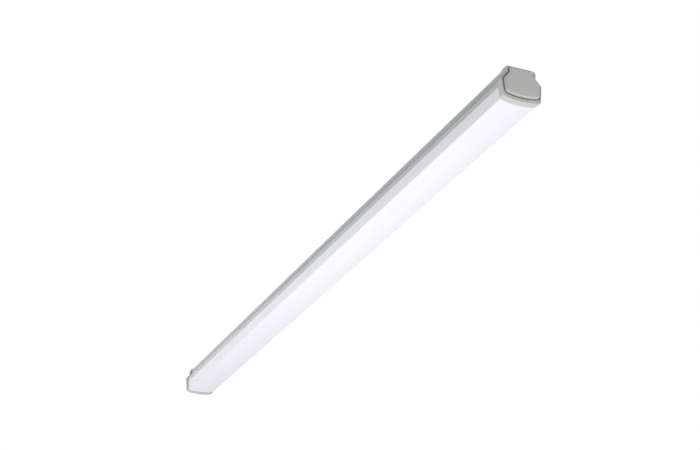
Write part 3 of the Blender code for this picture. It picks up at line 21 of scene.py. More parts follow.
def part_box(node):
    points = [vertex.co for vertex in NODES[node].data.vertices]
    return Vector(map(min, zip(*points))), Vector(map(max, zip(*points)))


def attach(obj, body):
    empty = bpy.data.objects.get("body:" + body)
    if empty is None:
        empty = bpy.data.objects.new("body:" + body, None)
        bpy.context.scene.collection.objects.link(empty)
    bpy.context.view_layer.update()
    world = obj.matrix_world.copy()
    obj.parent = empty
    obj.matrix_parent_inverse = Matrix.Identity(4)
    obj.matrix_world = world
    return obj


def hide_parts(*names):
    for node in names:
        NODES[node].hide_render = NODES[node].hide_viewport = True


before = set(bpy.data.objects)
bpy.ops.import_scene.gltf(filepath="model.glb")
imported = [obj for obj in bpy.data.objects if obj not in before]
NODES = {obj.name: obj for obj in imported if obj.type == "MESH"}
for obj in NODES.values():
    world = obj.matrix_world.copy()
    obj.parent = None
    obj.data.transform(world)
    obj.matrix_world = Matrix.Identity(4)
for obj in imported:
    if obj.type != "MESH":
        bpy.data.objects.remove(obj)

log = logging.getLogger("scene")

Point = tuple[float, float]  # mostly y and z
Span = tuple[float, float]  # the two ends of a range
Place = tuple[float, float, float]
Stop = tuple[float, float, float, float]  # a place and the number stored there
Colour = tuple[float, float, float]
Item = bpy.types.Object
Material = bpy.types.Material
NodeTree = bpy.types.NodeTree
Socket = bpy.types.NodeSocket
Sockets = bpy.types.bpy_prop_collection

GAP = 0.0003  # between pieces that seat on each other
MERGE_DISTANCE = 1e-6
SAME_PLACE = 1e-5  # points nearer to each other than this are at the same place
TIP_RADIUS = 0.00001  # where a turned profile ends on its axis
FLAT_ANGLE = math.radians(0.6)  # faces that meet at less than this are one face
EDGE_ANGLE = math.radians(38)  # edges from this angle up are rounded
EDGE_SEGMENTS = 2
NODE_SPACING = 220  # between neighbouring nodes in the node editor
WHITE: Colour = (1.0, 1.0, 1.0)


class Body(Enum):
    """The bodies of the fixture that carry pieces made here."""

    FIXTURE = "fixture"
    NEAR_CAP = "near_cap"
    NEAR_COVER = "near_cover"
    FAR_CAP = "far_cap"
    FAR_COVER = "far_cover"
    SLIP_RING = "slip_ring"
    DOME_NUT = "dome_nut"


class Slot(Enum):
    """The record's material slots."""

    HOUSING = "housing"
    OPAL = "opal"
    CAP = "cap"
    SILICONE = "silicone"
    TRAY = "tray_sheet"
    BOARD = "board"
    LINK = "link"
    NYLON = "nylon"
    DRIVER = "driver"
    CIRCUIT = "circuit"
    BLOCK = "block"
    BUTTON = "button"
    BRASS = "brass"
    STEEL = "steel"
    GLAND = "gland"
    RUBBER = "rubber"
    BROWN = "brown_insulation"
    BLUE = "blue_insulation"
    GREEN = "green_insulation"
    RED = "red_insulation"
    BLACK = "black_insulation"


class End(Enum):
    """The two ends of the tube, by their direction along X."""

    NEAR = 1
    FAR = -1


class Cut(Enum):
    """What a tool does to the piece that it meets."""

    REMOVE = "DIFFERENCE"
    JOIN = "UNION"


class TreeKind(Enum):
    """The two kinds of node group."""

    SHADER = "ShaderNodeTree"
    GEOMETRY = "GeometryNodeTree"


class Kind(Enum):
    """What an input or output of a node group carries."""

    NUMBER = "NodeSocketFloat"
    COUNT = "NodeSocketInt"
    VECTOR = "NodeSocketVector"
    ROTATION = "NodeSocketRotation"
    GEOMETRY = "NodeSocketGeometry"
    OBJECT = "NodeSocketObject"
    MATERIAL = "NodeSocketMaterial"


# Wiring of node trees


class Wiring:
    """Adds nodes to a node tree and joins their sockets."""

    def __init__(self, tree: NodeTree) -> None:
        """Keeps the tree.

        Args:
            tree: The tree that the nodes go into.
        """
        self.tree = tree
        self._column = 0

    def node(self, kind: str, inputs: dict | None = None, **settings: object) -> bpy.types.Node:
        """Adds a node.

        Args:
            kind: The node's type, such as ShaderNodeMath.
            inputs: Values, or sockets to join, by the input's name or number.
            settings: The node's own properties.

        Returns:
            The new node.
        """
        node = self.tree.nodes.new(kind)
        node.location = (NODE_SPACING * self._column, 0)
        self._column += 1
        for name, value in settings.items():
            setattr(node, name, value)
        for key, value in (inputs or {}).items():
            self.feed(node.inputs[key], value)
        return node

    def out(self, kind: str, inputs: dict | None = None, output: str | int = 0, **settings: object) -> Socket:
        """Adds a node and gives one of its outputs.

        Args:
            kind: The node's type.
            inputs: Values, or sockets to join, by the input's name or number.
            output: The output's name or number.
            settings: The node's own properties.

        Returns:
            That output.
        """
        return self.node(kind, inputs, **settings).outputs[output]

    def placed(self, group: NodeTree, inputs: dict) -> Sockets:
        """Places a node group with its own values.

        Args:
            group: The group.
            inputs: Values, or sockets to join, by the input's name.

        Returns:
            The placed group's outputs.
        """
        return self.node("ShaderNodeGroup", inputs, node_tree=group).outputs

    def feed(self, target: Socket, value: object) -> None:
        """Joins a socket to an input, or sets the input's value.

        Args:
            target: The input.
            value: A socket to join or a plain value.
        """
        if isinstance(value, Socket):
            self.tree.links.new(value, target)
        elif isinstance(value, (tuple, list)) and len(value) == 3 and target.type == "RGBA":
            target.default_value = (*value, 1.0)
        else:
            target.default_value = value

    def math(self, operation: str, first: object, second: object = 0.0, clamp: bool = False) -> Socket:
        """Adds a Math node.

        Args:
            operation: The node's operation.
            first: A socket or a number.
            second: A socket or a number.
            clamp: Whether the result is held between 0 and 1.

        Returns:
            Its result.
        """
        return self.out("ShaderNodeMath", {0: first, 1: second}, operation=operation, use_clamp=clamp)

    def mix(self, share: object, first: object, second: object) -> Socket:
        """Mixes two colours.

        Args:
            share: How much of the second colour shows.
            first: A colour or a socket.
            second: A colour or a socket.

        Returns:
            The mixed colour.
        """
        # A Mix node's colours are its inputs 6 and 7 and its output 2
        return self.out("ShaderNodeMix", {0: share, 6: first, 7: second}, 2, data_type="RGBA")

    def ranged(self, value: object, span: Span, result: Span = (0.0, 1.0)) -> Socket:
        """Maps a value from one range to another and holds it there.

        Args:
            value: The socket that is mapped.
            span: The start and the end of its range.
            result: What the start and the end become.

        Returns:
            The mapped value.
        """
        inputs = {0: value, 1: span[0], 2: span[1], 3: result[0], 4: result[1]}
        return self.out("ShaderNodeMapRange", inputs)

    def combined(self, x: object = 0.0, y: object = 0.0, z: object = 0.0) -> Socket:
        """A vector made of numbers or sockets."""
        return self.out("ShaderNodeCombineXYZ", {"X": x, "Y": y, "Z": z})

    def joined(self, *parts: Socket) -> Socket:
        """Joins pieces of geometry.

        Args:
            parts: The pieces.

        Returns:
            All of them as one.
        """
        node = self.node("GeometryNodeJoinGeometry")
        for part in parts:
            self.feed(node.inputs["Geometry"], part)
        return node.outputs["Geometry"]

    def seen(self) -> Socket:
        """Tells what is seen from what only gives light.

        Returns:
            1 for the camera's rays, mirrored rays and rays through glass, and 0 for the rest.
        """
        rays = self.node("ShaderNodeLightPath").outputs
        direct = self.math("MAXIMUM", rays["Is Camera Ray"], rays["Is Glossy Ray"])
        return self.math("MAXIMUM", direct, rays["Is Transmission Ray"])


def add_group(
    name: str, kind: TreeKind, inputs: dict[str, object], outputs: dict[str, Kind]
) -> tuple[Wiring, Sockets]:
    """Starts a node group with named sockets.

    Args:
        name: The group's name.
        kind: Whether the group shades or makes geometry.
        inputs: Each input's default number, or what the input carries, by name.
        outputs: What each output carries, by name.

    Returns:
        The wiring of the new group and its inputs' sockets by name.
    """
    tree = bpy.data.node_groups.new(name, kind.value)
    for label, value in inputs.items():
        number = Kind.COUNT if isinstance(value, int) else Kind.NUMBER
        carried = value if isinstance(value, Kind) else number
        socket = tree.interface.new_socket(label, in_out="INPUT", socket_type=carried.value)
        if carried is not value:
            socket.default_value = value
    for label, carried in outputs.items():
        tree.interface.new_socket(label, in_out="OUTPUT", socket_type=carried.value)
    wiring = Wiring(tree)
    return wiring, wiring.node("NodeGroupInput").outputs


# Shader groups, each used by several finishes


@dataclass
class Effects:
    """The shader node groups that the finishes share, each built once.

    A span holds the two values between which a mask goes from its least to its most.
    """

    edge_samples: int = 4
    edge_span: Span = (0.995, 0.90)
    wear_span: Span = (0.42, 0.68)
    cell_share: float = 0.35
    noise_span: Span = (0.3, 0.7)
    line_stretch: float = 0.004
    smear_span: Span = (0.52, 0.72)
    speck_span: Span = (0.10, 0.04)
    speck_share: float = 0.6
    specks_per_smear: float = 22.0
    # samples and span of the ambient occlusion mask that paints shade into narrow gaps
    gap_samples: int = 8
    gap_span: Span = (0.75, 0.25)

    def __post_init__(self) -> None:
        """Builds the groups."""
        self.edge_wear = self._build_edge_wear()
        self.grain = self._build_grain()
        self.drawn_lines = self._build_drawn_lines()
        self.handling = self._build_handling()
        self.crevice = self._build_painted_gap_shade()

    def _build_edge_wear(self) -> NodeTree:
        """A mask of the edges, broken up by noise.

        Returns:
            The group.
        """
        inputs = {"Vector": Kind.VECTOR, "Radius": 0.0005, "Spot Size": 0.004, "Amount": 0.5}
        wiring, entry = add_group("edge_wear", TreeKind.SHADER, inputs, {"Mask": Kind.NUMBER})
        rounded = wiring.out("ShaderNodeBevel", {"Radius": entry["Radius"]}, samples=self.edge_samples)
        flat = wiring.out("ShaderNodeNewGeometry", output="Normal")
        turn = wiring.out("ShaderNodeVectorMath", {0: rounded, 1: flat}, "Value", operation="DOT_PRODUCT")
        scale = wiring.math("DIVIDE", 1.0, entry["Spot Size"])
        spots = wiring.out("ShaderNodeTexNoise", {"Vector": entry["Vector"], "Scale": scale, "Detail": 3.0})
        edge = wiring.ranged(turn, self.edge_span)
        broken = wiring.math("MULTIPLY", edge, wiring.ranged(spots, self.wear_span))
        mask = wiring.math("MULTIPLY", broken, entry["Amount"], clamp=True)
        wiring.node("NodeGroupOutput", {"Mask": mask})
        return wiring.tree

    def _build_grain(self) -> NodeTree:
        """Fine grain for the bump and larger patches for colour and roughness.

        Returns:
            The group.
        """
        inputs = {"Vector": Kind.VECTOR, "Grain Size": 0.0005, "Patch Size": 0.03}
        outputs = {"Grain": Kind.NUMBER, "Patches": Kind.NUMBER}
        wiring, entry = add_group("grain", TreeKind.SHADER, inputs, outputs)
        place = entry["Vector"]
        fine_scale = wiring.math("DIVIDE", 1.0, entry["Grain Size"])
        patch_scale = wiring.math("DIVIDE", 1.0, entry["Patch Size"])
        fine = wiring.out("ShaderNodeTexNoise", {"Vector": place, "Scale": fine_scale, "Detail": 2.0})
        cells = wiring.out("ShaderNodeTexVoronoi", {"Vector": place, "Scale": fine_scale})
        patches = wiring.out("ShaderNodeTexNoise", {"Vector": place, "Scale": patch_scale, "Detail": 4.0})
        grain = wiring.math("ADD", fine, wiring.math("MULTIPLY", cells, self.cell_share))
        even = wiring.ranged(patches, self.noise_span)
        wiring.node("NodeGroupOutput", {"Grain": grain, "Patches": even})
        return wiring.tree

    def _build_drawn_lines(self) -> NodeTree:
        """Fine lines that run along X, as a die leaves on what is drawn through it.

        Returns:
            The group.
        """
        inputs = {"Vector": Kind.VECTOR, "Spacing": 0.0008}
        wiring, entry = add_group("drawn_lines", TreeKind.SHADER, inputs, {"Lines": Kind.NUMBER})
        inputs = {0: entry["Vector"], 1: (self.line_stretch, 1.0, 1.0)}
        place = wiring.out("ShaderNodeVectorMath", inputs, operation="MULTIPLY")
        scale = wiring.math("DIVIDE", 1.0, entry["Spacing"])
        inputs = {"Vector": place, "Scale": scale, "Detail": 3.0, "Roughness": 0.65}
        lines = wiring.ranged(wiring.out("ShaderNodeTexNoise", inputs), self.noise_span)
        wiring.node("NodeGroupOutput", {"Lines": lines})
        return wiring.tree

    def _build_handling(self) -> NodeTree:
        """Faint smears and specks that handling leaves, as a mask.

        Returns:
            The group.
        """
        inputs = {"Vector": Kind.VECTOR, "Smear Size": 0.05}
        wiring, entry = add_group("handling", TreeKind.SHADER, inputs, {"Mask": Kind.NUMBER})
        scale = wiring.math("DIVIDE", 1.0, entry["Smear Size"])
        inputs = {"Vector": entry["Vector"], "Scale": scale, "Detail": 5.0, "Distortion": 1.2}
        smears = wiring.ranged(wiring.out("ShaderNodeTexNoise", inputs), self.smear_span)
        speck_scale = wiring.math("MULTIPLY", scale, self.specks_per_smear)
        distance = wiring.out("ShaderNodeTexVoronoi", {"Vector": entry["Vector"], "Scale": speck_scale})
        specks = wiring.ranged(distance, self.speck_span, (0.0, self.speck_share))
        wiring.node("NodeGroupOutput", {"Mask": wiring.math("MAXIMUM", smears, specks)})
        return wiring.tree

    def _build_painted_gap_shade(self) -> NodeTree:
        """A mask of narrow gaps and inner corners, for painted shade that darkens them as their shadow would.

        Returns:
            The group.
        """
        inputs = {"Distance": 0.003, "Amount": 1.0}
        wiring, entry = add_group("crevice", TreeKind.SHADER, inputs, {"Mask": Kind.NUMBER})
        inputs = {"Distance": entry["Distance"]}
        # painted shade: ambient occlusion finds where the gaps' shadow falls
        openness = wiring.out("ShaderNodeAmbientOcclusion", inputs, "AO", samples=self.gap_samples)
        gaps = wiring.ranged(openness, self.gap_span)
        mask = wiring.math("MULTIPLY", gaps, entry["Amount"], clamp=True)
        wiring.node("NodeGroupOutput", {"Mask": mask})
        return wiring.tree


# Finishes


@dataclass(frozen=True)
class Finish:
    """A surface finish: its colour, its gloss and the marks of its making.

    The grain gives the bump, the patches shift colour and roughness a little, the smears lift the
    roughness where hands have been, the wear lightens the edges, and painted shade darkens narrow
    gaps and inner corners where shadow falls.
    """

    name: str
    colour: Colour
    roughness: float = 0.45
    roughness_swing: float = 0.08
    metallic: float = 0.0
    grain_size: float = 0.0005
    grain_height: float = 0.00002
    patch_size: float = 0.03
    patch_shade: float = 0.94
    worn_colour: Colour | None = None
    wear_radius: float = 0.0004
    wear_amount: float = 0.4
    line_spacing: float = 0.0
    line_height: float = 0.0
    line_shade: float = 0.97
    smear_roughness: float = 0.06
    # painted shade: how much colour stays in narrow gaps (1 for none), how far the occlusion reaches, and the
    # dark tone mixed in
    painted_shade_level: float = 1.0
    painted_shade_reach: float = 0.003
    painted_shade_colour: Colour = (0.02, 0.02, 0.018)

    def material(self, effects: Effects) -> Material:
        """Builds the finish's material.

        Args:
            effects: The shared shader groups.

        Returns:
            The new material.
        """
        material = bpy.data.materials.new(self.name)
        material.use_nodes = True
        material.diffuse_color = (*self.colour, 1.0)
        wiring = Wiring(material.node_tree)
        shader = material.node_tree.nodes["Principled BSDF"]
        place = wiring.out("ShaderNodeTexCoord", output="Object")
        sizes = {"Vector": place, "Grain Size": self.grain_size, "Patch Size": self.patch_size}
        grain = wiring.placed(effects.grain, sizes)
        shaded = tuple(part * self.patch_shade for part in self.colour)
        colour = wiring.mix(grain["Patches"], shaded, self.colour)
        height = wiring.math("MULTIPLY", grain["Grain"], self.grain_height)
        if self.line_spacing:
            sizes = {"Vector": place, "Spacing": self.line_spacing}
            lines = wiring.placed(effects.drawn_lines, sizes)["Lines"]
            colour = self._shaded_by_lines(wiring, colour, lines)
            height = wiring.math("ADD", height, wiring.math("MULTIPLY", lines, self.line_height))
        colour = self._worn_and_painted_shade(wiring, effects, place, self._detailed(wiring, place, colour))
        rough = self._uneven_roughness(wiring, effects, place, grain["Patches"])
        bump = wiring.out("ShaderNodeBump", {"Strength": 1.0, "Distance": 1.0, "Height": height})
        wiring.feed(shader.inputs["Base Color"], colour)
        wiring.feed(shader.inputs["Roughness"], rough)
        wiring.feed(shader.inputs["Normal"], bump)
        shader.inputs["Metallic"].default_value = self.metallic
        return material

    def _worn_and_painted_shade(self, wiring: Wiring, effects: Effects, place: Socket, colour: Socket) -> Socket:
        """The colour with worn edges and painted shade in narrow gaps, where the finish has them.

        Args:
            wiring: The material's wiring.
            effects: The shared shader groups.
            place: The object's coordinates.
            colour: The colour so far.

        Returns:
            The new colour.
        """
        if self.worn_colour:
            sizes = {"Vector": place, "Radius": self.wear_radius, "Amount": self.wear_amount}
            colour = wiring.mix(wiring.placed(effects.edge_wear, sizes)["Mask"], colour, self.worn_colour)
        # painted shade: the colour turns towards a dark tone where ambient occlusion finds narrow gaps,
        # standing in for their shadow
        if self.painted_shade_level < 1.0:
            sizes = {"Distance": self.painted_shade_reach, "Amount": 1.0 - self.painted_shade_level}
            colour = wiring.mix(wiring.placed(effects.crevice, sizes)["Mask"], colour, self.painted_shade_colour)
        return colour

    def _uneven_roughness(self, wiring: Wiring, effects: Effects, place: Socket, patches: Socket) -> Socket:
        """The roughness, which follows the patches and rises in the smears.

        Args:
            wiring: The material's wiring.
            effects: The shared shader groups.
            place: The object's coordinates.
            patches: The patches' mask.

        Returns:
            The roughness.
        """
        swing = self.roughness_swing / 2
        even = wiring.ranged(patches, (0.0, 1.0), (self.roughness - swing, self.roughness + swing))
        smears = wiring.placed(effects.handling, {"Vector": place})["Mask"]
        return wiring.math("ADD", even, wiring.math("MULTIPLY", smears, self.smear_roughness), clamp=True)

    def _shaded_by_lines(self, wiring: Wiring, colour: Socket, lines: Socket) -> Socket:
        """The colour, darker between the drawn lines.

        Args:
            wiring: The material's wiring.
            colour: The colour so far.
            lines: The lines' mask.

        Returns:
            The new colour.
        """
        shade = wiring.ranged(lines, (0.0, 1.0), (self.line_shade, 1.0))
        return wiring.out("ShaderNodeVectorMath", {0: colour, "Scale": shade}, operation="SCALE")

    def _detailed(self, wiring: Wiring, place: Socket, colour: Socket) -> Socket:
        """The colour with what a special finish adds, which is nothing here."""
        return colour


@dataclass(frozen=True)
class BoardLacquer(Finish):
    """White board lacquer, through which the copper strips show a little."""

    strip_colour: Colour = (0.66, 0.67, 0.62)
    strip_y: float = 0.0048
    strip_half: float = 0.0016
    strip_blur: float = 0.0002
    strip_share: float = 0.7

    def _detailed(self, wiring: Wiring, place: Socket, colour: Socket) -> Socket:
        """The colour with two copper strips along X.

        Args:
            wiring: The material's wiring.
            place: The object's coordinates.
            colour: The colour so far.

        Returns:
            The new colour.
        """
        across = wiring.math("ABSOLUTE", wiring.out("ShaderNodeSeparateXYZ", {0: place}, "Y"))
        off = wiring.math("ABSOLUTE", wiring.math("SUBTRACT", across, self.strip_y))
        edge = (self.strip_half + self.strip_blur, self.strip_half)
        strip = wiring.ranged(off, edge, (0.0, self.strip_share))
        return wiring.mix(strip, colour, self.strip_colour)


def make_finishes() -> dict[Slot, Finish]:
    """Writes down the finish of every slot.

    Returns:
        The finishes by slot.
    """
    finishes = {
        Slot.HOUSING: Finish(
            "painted_extrusion", (0.365, 0.385, 0.390), roughness=0.34, grain_size=0.0009,
            patch_size=0.12, patch_shade=0.96, worn_colour=(0.50, 0.51, 0.51), wear_amount=0.45,
            line_spacing=0.0011, line_height=0.000026, line_shade=0.95,
        ),
        Slot.OPAL: Finish(
            "opal_polycarbonate", (0.600, 0.602, 0.642), roughness=0.30, roughness_swing=0.05,
            grain_size=0.0012, grain_height=0.000002, patch_size=0.15, patch_shade=0.985,
            line_spacing=0.0016, line_height=0.000003, line_shade=0.992, smear_roughness=0.05,
        ),
        Slot.CAP: Finish(
            "moulded_cap", (0.410, 0.413, 0.398), roughness=0.46, grain_size=0.0007,
            grain_height=0.00005, patch_size=0.02, patch_shade=0.95, worn_colour=(0.54, 0.54, 0.52),
            # painted shade in the groove round the raised cover
            painted_shade_level=0.45, painted_shade_reach=0.0016,
        ),
        Slot.SILICONE: Finish("silicone", (0.60, 0.60, 0.58), roughness=0.62),
        Slot.TRAY: Finish(
            "white_sheet", (0.74, 0.74, 0.73), roughness=0.38, grain_size=0.0015,
            grain_height=0.00003, worn_colour=(0.45, 0.45, 0.44), wear_amount=0.5,
        ),
        Slot.BOARD: BoardLacquer("board_lacquer", (0.78, 0.78, 0.76), roughness=0.25, grain_height=0.00001),
        Slot.LINK: Finish("link_housing", (0.74, 0.74, 0.69), roughness=0.42),
        Slot.NYLON: Finish("nylon", (0.70, 0.69, 0.63), roughness=0.40),
        Slot.DRIVER: Finish("driver_case", (0.72, 0.72, 0.71), roughness=0.46, grain_height=0.00003),
        Slot.CIRCUIT: Finish("circuit_board", (0.06, 0.20, 0.09), roughness=0.30, patch_shade=0.8),
        Slot.BLOCK: Finish("terminal_block", (0.66, 0.66, 0.64), roughness=0.36),
        Slot.BUTTON: Finish("release_button", (0.75, 0.25, 0.05), roughness=0.35),
        Slot.BRASS: Finish("brass", (0.80, 0.62, 0.28), roughness=0.28, metallic=1.0, patch_shade=0.88),
        Slot.STEEL: Finish(
            "stainless_steel", (0.62, 0.62, 0.60), roughness=0.30, metallic=1.0, grain_size=0.0004,
            grain_height=0.000008, patch_size=0.004, patch_shade=0.85,
        ),
        Slot.GLAND: Finish(
            "gland_polyamide", (0.350, 0.352, 0.342), roughness=0.42, patch_size=0.015,
            worn_colour=(0.46, 0.46, 0.44), wear_amount=0.3,
        ),
        Slot.RUBBER: Finish("rubber", (0.035, 0.035, 0.035), roughness=0.66),
    }
    insulation = {
        Slot.BROWN: ("brown_pvc", (0.20, 0.09, 0.04)),
        Slot.BLUE: ("blue_pvc", (0.04, 0.16, 0.52)),
        Slot.GREEN: ("green_pvc", (0.10, 0.42, 0.12)),
        Slot.RED: ("red_pvc", (0.60, 0.05, 0.04)),
        Slot.BLACK: ("black_pvc", (0.03, 0.03, 0.03)),
    }
    for slot, (name, colour) in insulation.items():
        finishes[slot] = Finish(name, colour, roughness=0.40, grain_size=0.0008, patch_size=0.01)
    return finishes


class Palette:
    """Every slot's material, built once from its finish."""

    def __init__(self) -> None:
        """Builds the shared groups and the materials."""
        effects = Effects()
        self._materials = {slot: finish.material(effects) for slot, finish in make_finishes().items()}
        window = Finish(
            "led_phosphor", (0.78, 0.62, 0.16), roughness=0.35, grain_size=0.0003, patch_size=0.002
        )
        self.phosphor = window.material(effects)

    def __getitem__(self, slot: Slot) -> Material:
        """The material of a slot."""
        return self._materials[slot]


# Outlines in the (y, z) plane


@dataclass(frozen=True)
class Corner:
    """A corner of an outline and the radius that rounds it."""

    y: float
    z: float
    radius: float = 0.0


def fillet(before: Vector, corner: Vector, after: Vector, radius: float, steps: int) -> list[Vector]:
    """The arc that rounds a corner.

    Args:
        before: The point before the corner.
        corner: The sharp corner.
        after: The point after it.
        radius: The arc's radius.
        steps: How many straight pieces the arc has.

    Returns:
        The arc's points, from the side of the point before to the side of the one after.
    """
    towards_before = (before - corner).normalized()
    towards_after = (after - corner).normalized()
    half_angle = towards_before.angle(towards_after) / 2
    reach = radius / math.tan(half_angle)
    centre = corner + (towards_before + towards_after).normalized() * radius / math.sin(half_angle)
    first = corner + towards_before * reach - centre
    last = corner + towards_after * reach - centre
    sweep = first.angle(last)
    points = []
    for step in range(steps + 1):
        share = step / steps
        weight = math.sin((1 - share) * sweep) / math.sin(sweep)
        other_weight = math.sin(share * sweep) / math.sin(sweep)
        points.append(centre + first * weight + last * other_weight)
    return points


def inset(outline: list[Point], distance: float) -> list[Point]:
    """A clockwise outline moved inwards.

    Args:
        outline: The outline's points.
        distance: How far each side moves in.

    Returns:
        The moved points.
    """
    moved = []
    count = len(outline)
    for index in range(count):
        before = Vector(outline[index - 1])
        here = Vector(outline[index])
        after = Vector(outline[(index + 1) % count])
        along = (here - before).normalized()
        onward = (after - here).normalized()
        normal = Vector((-along.y, along.x))
        next_normal = Vector((-onward.y, onward.x))
        here -= (normal + next_normal) * (distance / (1 + normal.dot(next_normal)))
        moved.append((here.x, here.y))
    return moved


def bow(corner: Corner, depth: float, steps: int) -> list[Point]:
    """The points of a bowed bottom, from beside its corner to the middle.

    Args:
        corner: The corner that the bow starts from.
        depth: How far below the corner the middle hangs.
        steps: How many points the bow has.

    Returns:
        The bow's points.
    """
    shares = [1 - step / steps for step in range(1, steps + 1)]
    return [(corner.y * share, corner.z - depth * (1 - share ** 2)) for share in shares]


def mirrored(half: list[Point]) -> list[Point]:
    """The closed outline of a right half and its mirror image, clockwise."""
    return list(half) + [(-y, z) for y, z in reversed(half) if y > MERGE_DISTANCE]


# Objects and meshes


def add_object(name: str, data: bpy.types.ID) -> Item:
    """Adds an object to the scene.

    Args:
        name: The object's name.
        data: Its mesh, lamp or camera.

    Returns:
        The new object.
    """
    item = bpy.data.objects.new(name, data)
    bpy.context.scene.collection.objects.link(item)
    return item


def plain_object(name: str, points: list[Place], edges: tuple = (), faces: tuple = ()) -> Item:
    """Adds an object whose mesh is written out.

    Args:
        name: The object's name.
        points: The mesh's points.
        edges: Its edges, by the numbers of their points.
        faces: Its faces, by the numbers of their points.

    Returns:
        The new object.
    """
    mesh = bpy.data.meshes.new(name)
    mesh.from_pydata(points, edges, faces)
    return add_object(name, mesh)


def line_object(name: str, lines: list[list[Stop]], label: str, closed: bool) -> Item:
    """Adds an object made of lines, with a number stored at each point.

    Args:
        name: The object's name.
        lines: Each line's points, as x, y, z and the number.
        label: The name under which the numbers are stored.
        closed: Whether each line closes on itself.

    Returns:
        The new object.
    """
    stops = [stop for line in lines for stop in line]
    edges = []
    first = 0
    for line in lines:
        last = first + len(line) - 1
        edges += [(index, index + 1) for index in range(first, last)]
        if closed:
            edges.append((last, first))
        first = last + 1
    item = plain_object(name, [stop[:3] for stop in stops], edges)
    numbers = item.data.attributes.new(label, "FLOAT", "POINT")
    numbers.data.foreach_set("value", [stop[3] for stop in stops])
    return item


def keep_mesh(name: str, bm: bmesh.types.BMesh, material: Material) -> Item:
    """Turns a bmesh into an object at the origin.

    Args:
        name: The object's name.
        bm: The mesh, which is freed.
        material: Its material.

    Returns:
        The new object.
    """
    bmesh.ops.recalc_face_normals(bm, faces=bm.faces)
    mesh = bpy.data.meshes.new(name)
    bm.to_mesh(mesh)
    bm.free()
    mesh.materials.append(material)
    return add_object(name, mesh)


def merged(node: str) -> bmesh.types.BMesh:
    """A copy of a solid's mesh with its doubles merged.

    Args:
        node: The solid's name.

    Returns:
        The mesh, which its user frees.
    """
    bm = bmesh.new()
    bm.from_mesh(NODES[node].data)
    bmesh.ops.remove_doubles(bm, verts=bm.verts, dist=MERGE_DISTANCE)
    return bm


def settled(item: Item) -> Item:
    """Replaces an object's mesh by the result of its modifiers, which are removed.

    Args:
        item: The object.

    Returns:
        The same object.
    """
    bpy.context.view_layer.update()
    evaluated = item.evaluated_get(bpy.context.evaluated_depsgraph_get())
    mesh = bpy.data.meshes.new_from_object(evaluated)
    item.modifiers.clear()
    item.data = mesh
    mesh.name = item.name
    return item


def smooth(item: Item, angle: float) -> Item:
    """Shades an object smooth, with its edges sharp from an angle up.

    Args:
        item: The object.
        angle: The angle in degrees.

    Returns:
        The same object.
    """
    mesh = item.data
    mesh.polygons.foreach_set("use_smooth", [True] * len(mesh.polygons))
    mesh.set_sharp_from_angle(angle=math.radians(angle))
    return item


def cut(item: Item, tool: Item, action: Cut) -> None:
    """Cuts a tool out of a piece, or joins it on, and removes the tool.

    Args:
        item: The piece.
        tool: The tool.
        action: Which of the two is done.
    """
    modifier = item.modifiers.new("cut", "BOOLEAN")
    modifier.object = tool
    modifier.operation = action.value
    modifier.solver = "EXACT"
    settled(item)
    bpy.data.objects.remove(tool)


def rounded_copy(node: str, edge: float, material: Material) -> Item:
    """A copy of a solid with its edges rounded.

    Args:
        node: The solid's name.
        edge: How far its edges are rounded.
        material: The copy's material.

    Returns:
        The new object.
    """
    bm = merged(node)
    bmesh.ops.dissolve_limit(bm, angle_limit=FLAT_ANGLE, verts=bm.verts, edges=bm.edges)
    item = keep_mesh(f"{node}_dressed", bm, material)
    rounding = item.modifiers.new("edges", "BEVEL")
    rounding.width = edge
    rounding.segments = EDGE_SEGMENTS
    rounding.limit_method = "ANGLE"
    rounding.angle_limit = EDGE_ANGLE
    rounding.use_clamp_overlap = True
    rounding.miter_outer = "MITER_ARC"
    weights = item.modifiers.new("weights", "WEIGHTED_NORMAL")
    weights.keep_sharp = True
    smooth(item, angle=32.0)
    return settled(item)


def end_loops(node: str, x: float) -> list[list[Point]]:
    """The outlines of a solid's flat end face.

    Args:
        node: The solid's name.
        x: Where the end face lies.

    Returns:
        Each closed outline as points in the (y, z) plane.
    """
    bm = merged(node)
    ends = {face for face in bm.faces if all(abs(vert.co.x - x) < SAME_PLACE for vert in face.verts)}
    rim = [edge for edge in bm.edges if sum(face in ends for face in edge.link_faces) == 1]
    beside: dict[bmesh.types.BMVert, list[bmesh.types.BMVert]] = {}
    for edge in rim:
        for vert in edge.verts:
            beside.setdefault(vert, []).append(edge.other_vert(vert))
    loops = []
    while beside:
        start = next(iter(beside))
        loop = [start]
        here = beside.pop(start)[0]
        while here is not start:
            loop.append(here)
            before = loop[-2]
            here = next(vert for vert in beside.pop(here) if vert is not before)
        loops.append([(vert.co.y, vert.co.z) for vert in loop])
    bm.free()
    return loops


def loft(name: str, rings: list[tuple[float, list[Point]]], material: Material) -> Item:
    """A closed shell through outlines with the same number of points.

    Args:
        name: The object's name.
        rings: Each outline with its place along X.
        material: The shell's material.

    Returns:
        The new object.
    """
    bm = bmesh.new()
    loops = [[bm.verts.new((x, y, z)) for y, z in outline] for x, outline in rings]
    count = len(loops[0])
    for lower, upper in zip(loops, loops[1:]):
        for index in range(count):
            onward = (index + 1) % count
            bm.faces.new((lower[index], lower[onward], upper[onward], upper[index]))
    bm.faces.new(loops[0])
    bm.faces.new(loops[-1])
    return keep_mesh(name, bm, material)


def rod(run: Span, centre: Point, radius: float, sides: int, material: Material) -> Item:
    """A round rod along X.

    Args:
        run: Where the rod starts and ends along X.
        centre: Its middle line's y and z.
        radius: Its radius.
        sides: How many flat sides make it round.
        material: Its material.

    Returns:
        The new object.
    """
    y, z = centre
    turns = [math.tau * step / sides for step in range(sides)]
    circle = [(y + radius * math.cos(turn), z + radius * math.sin(turn)) for turn in turns]
    return loft("rod", [(run[0], circle), (run[1], circle)], material)


# Geometry Nodes trees


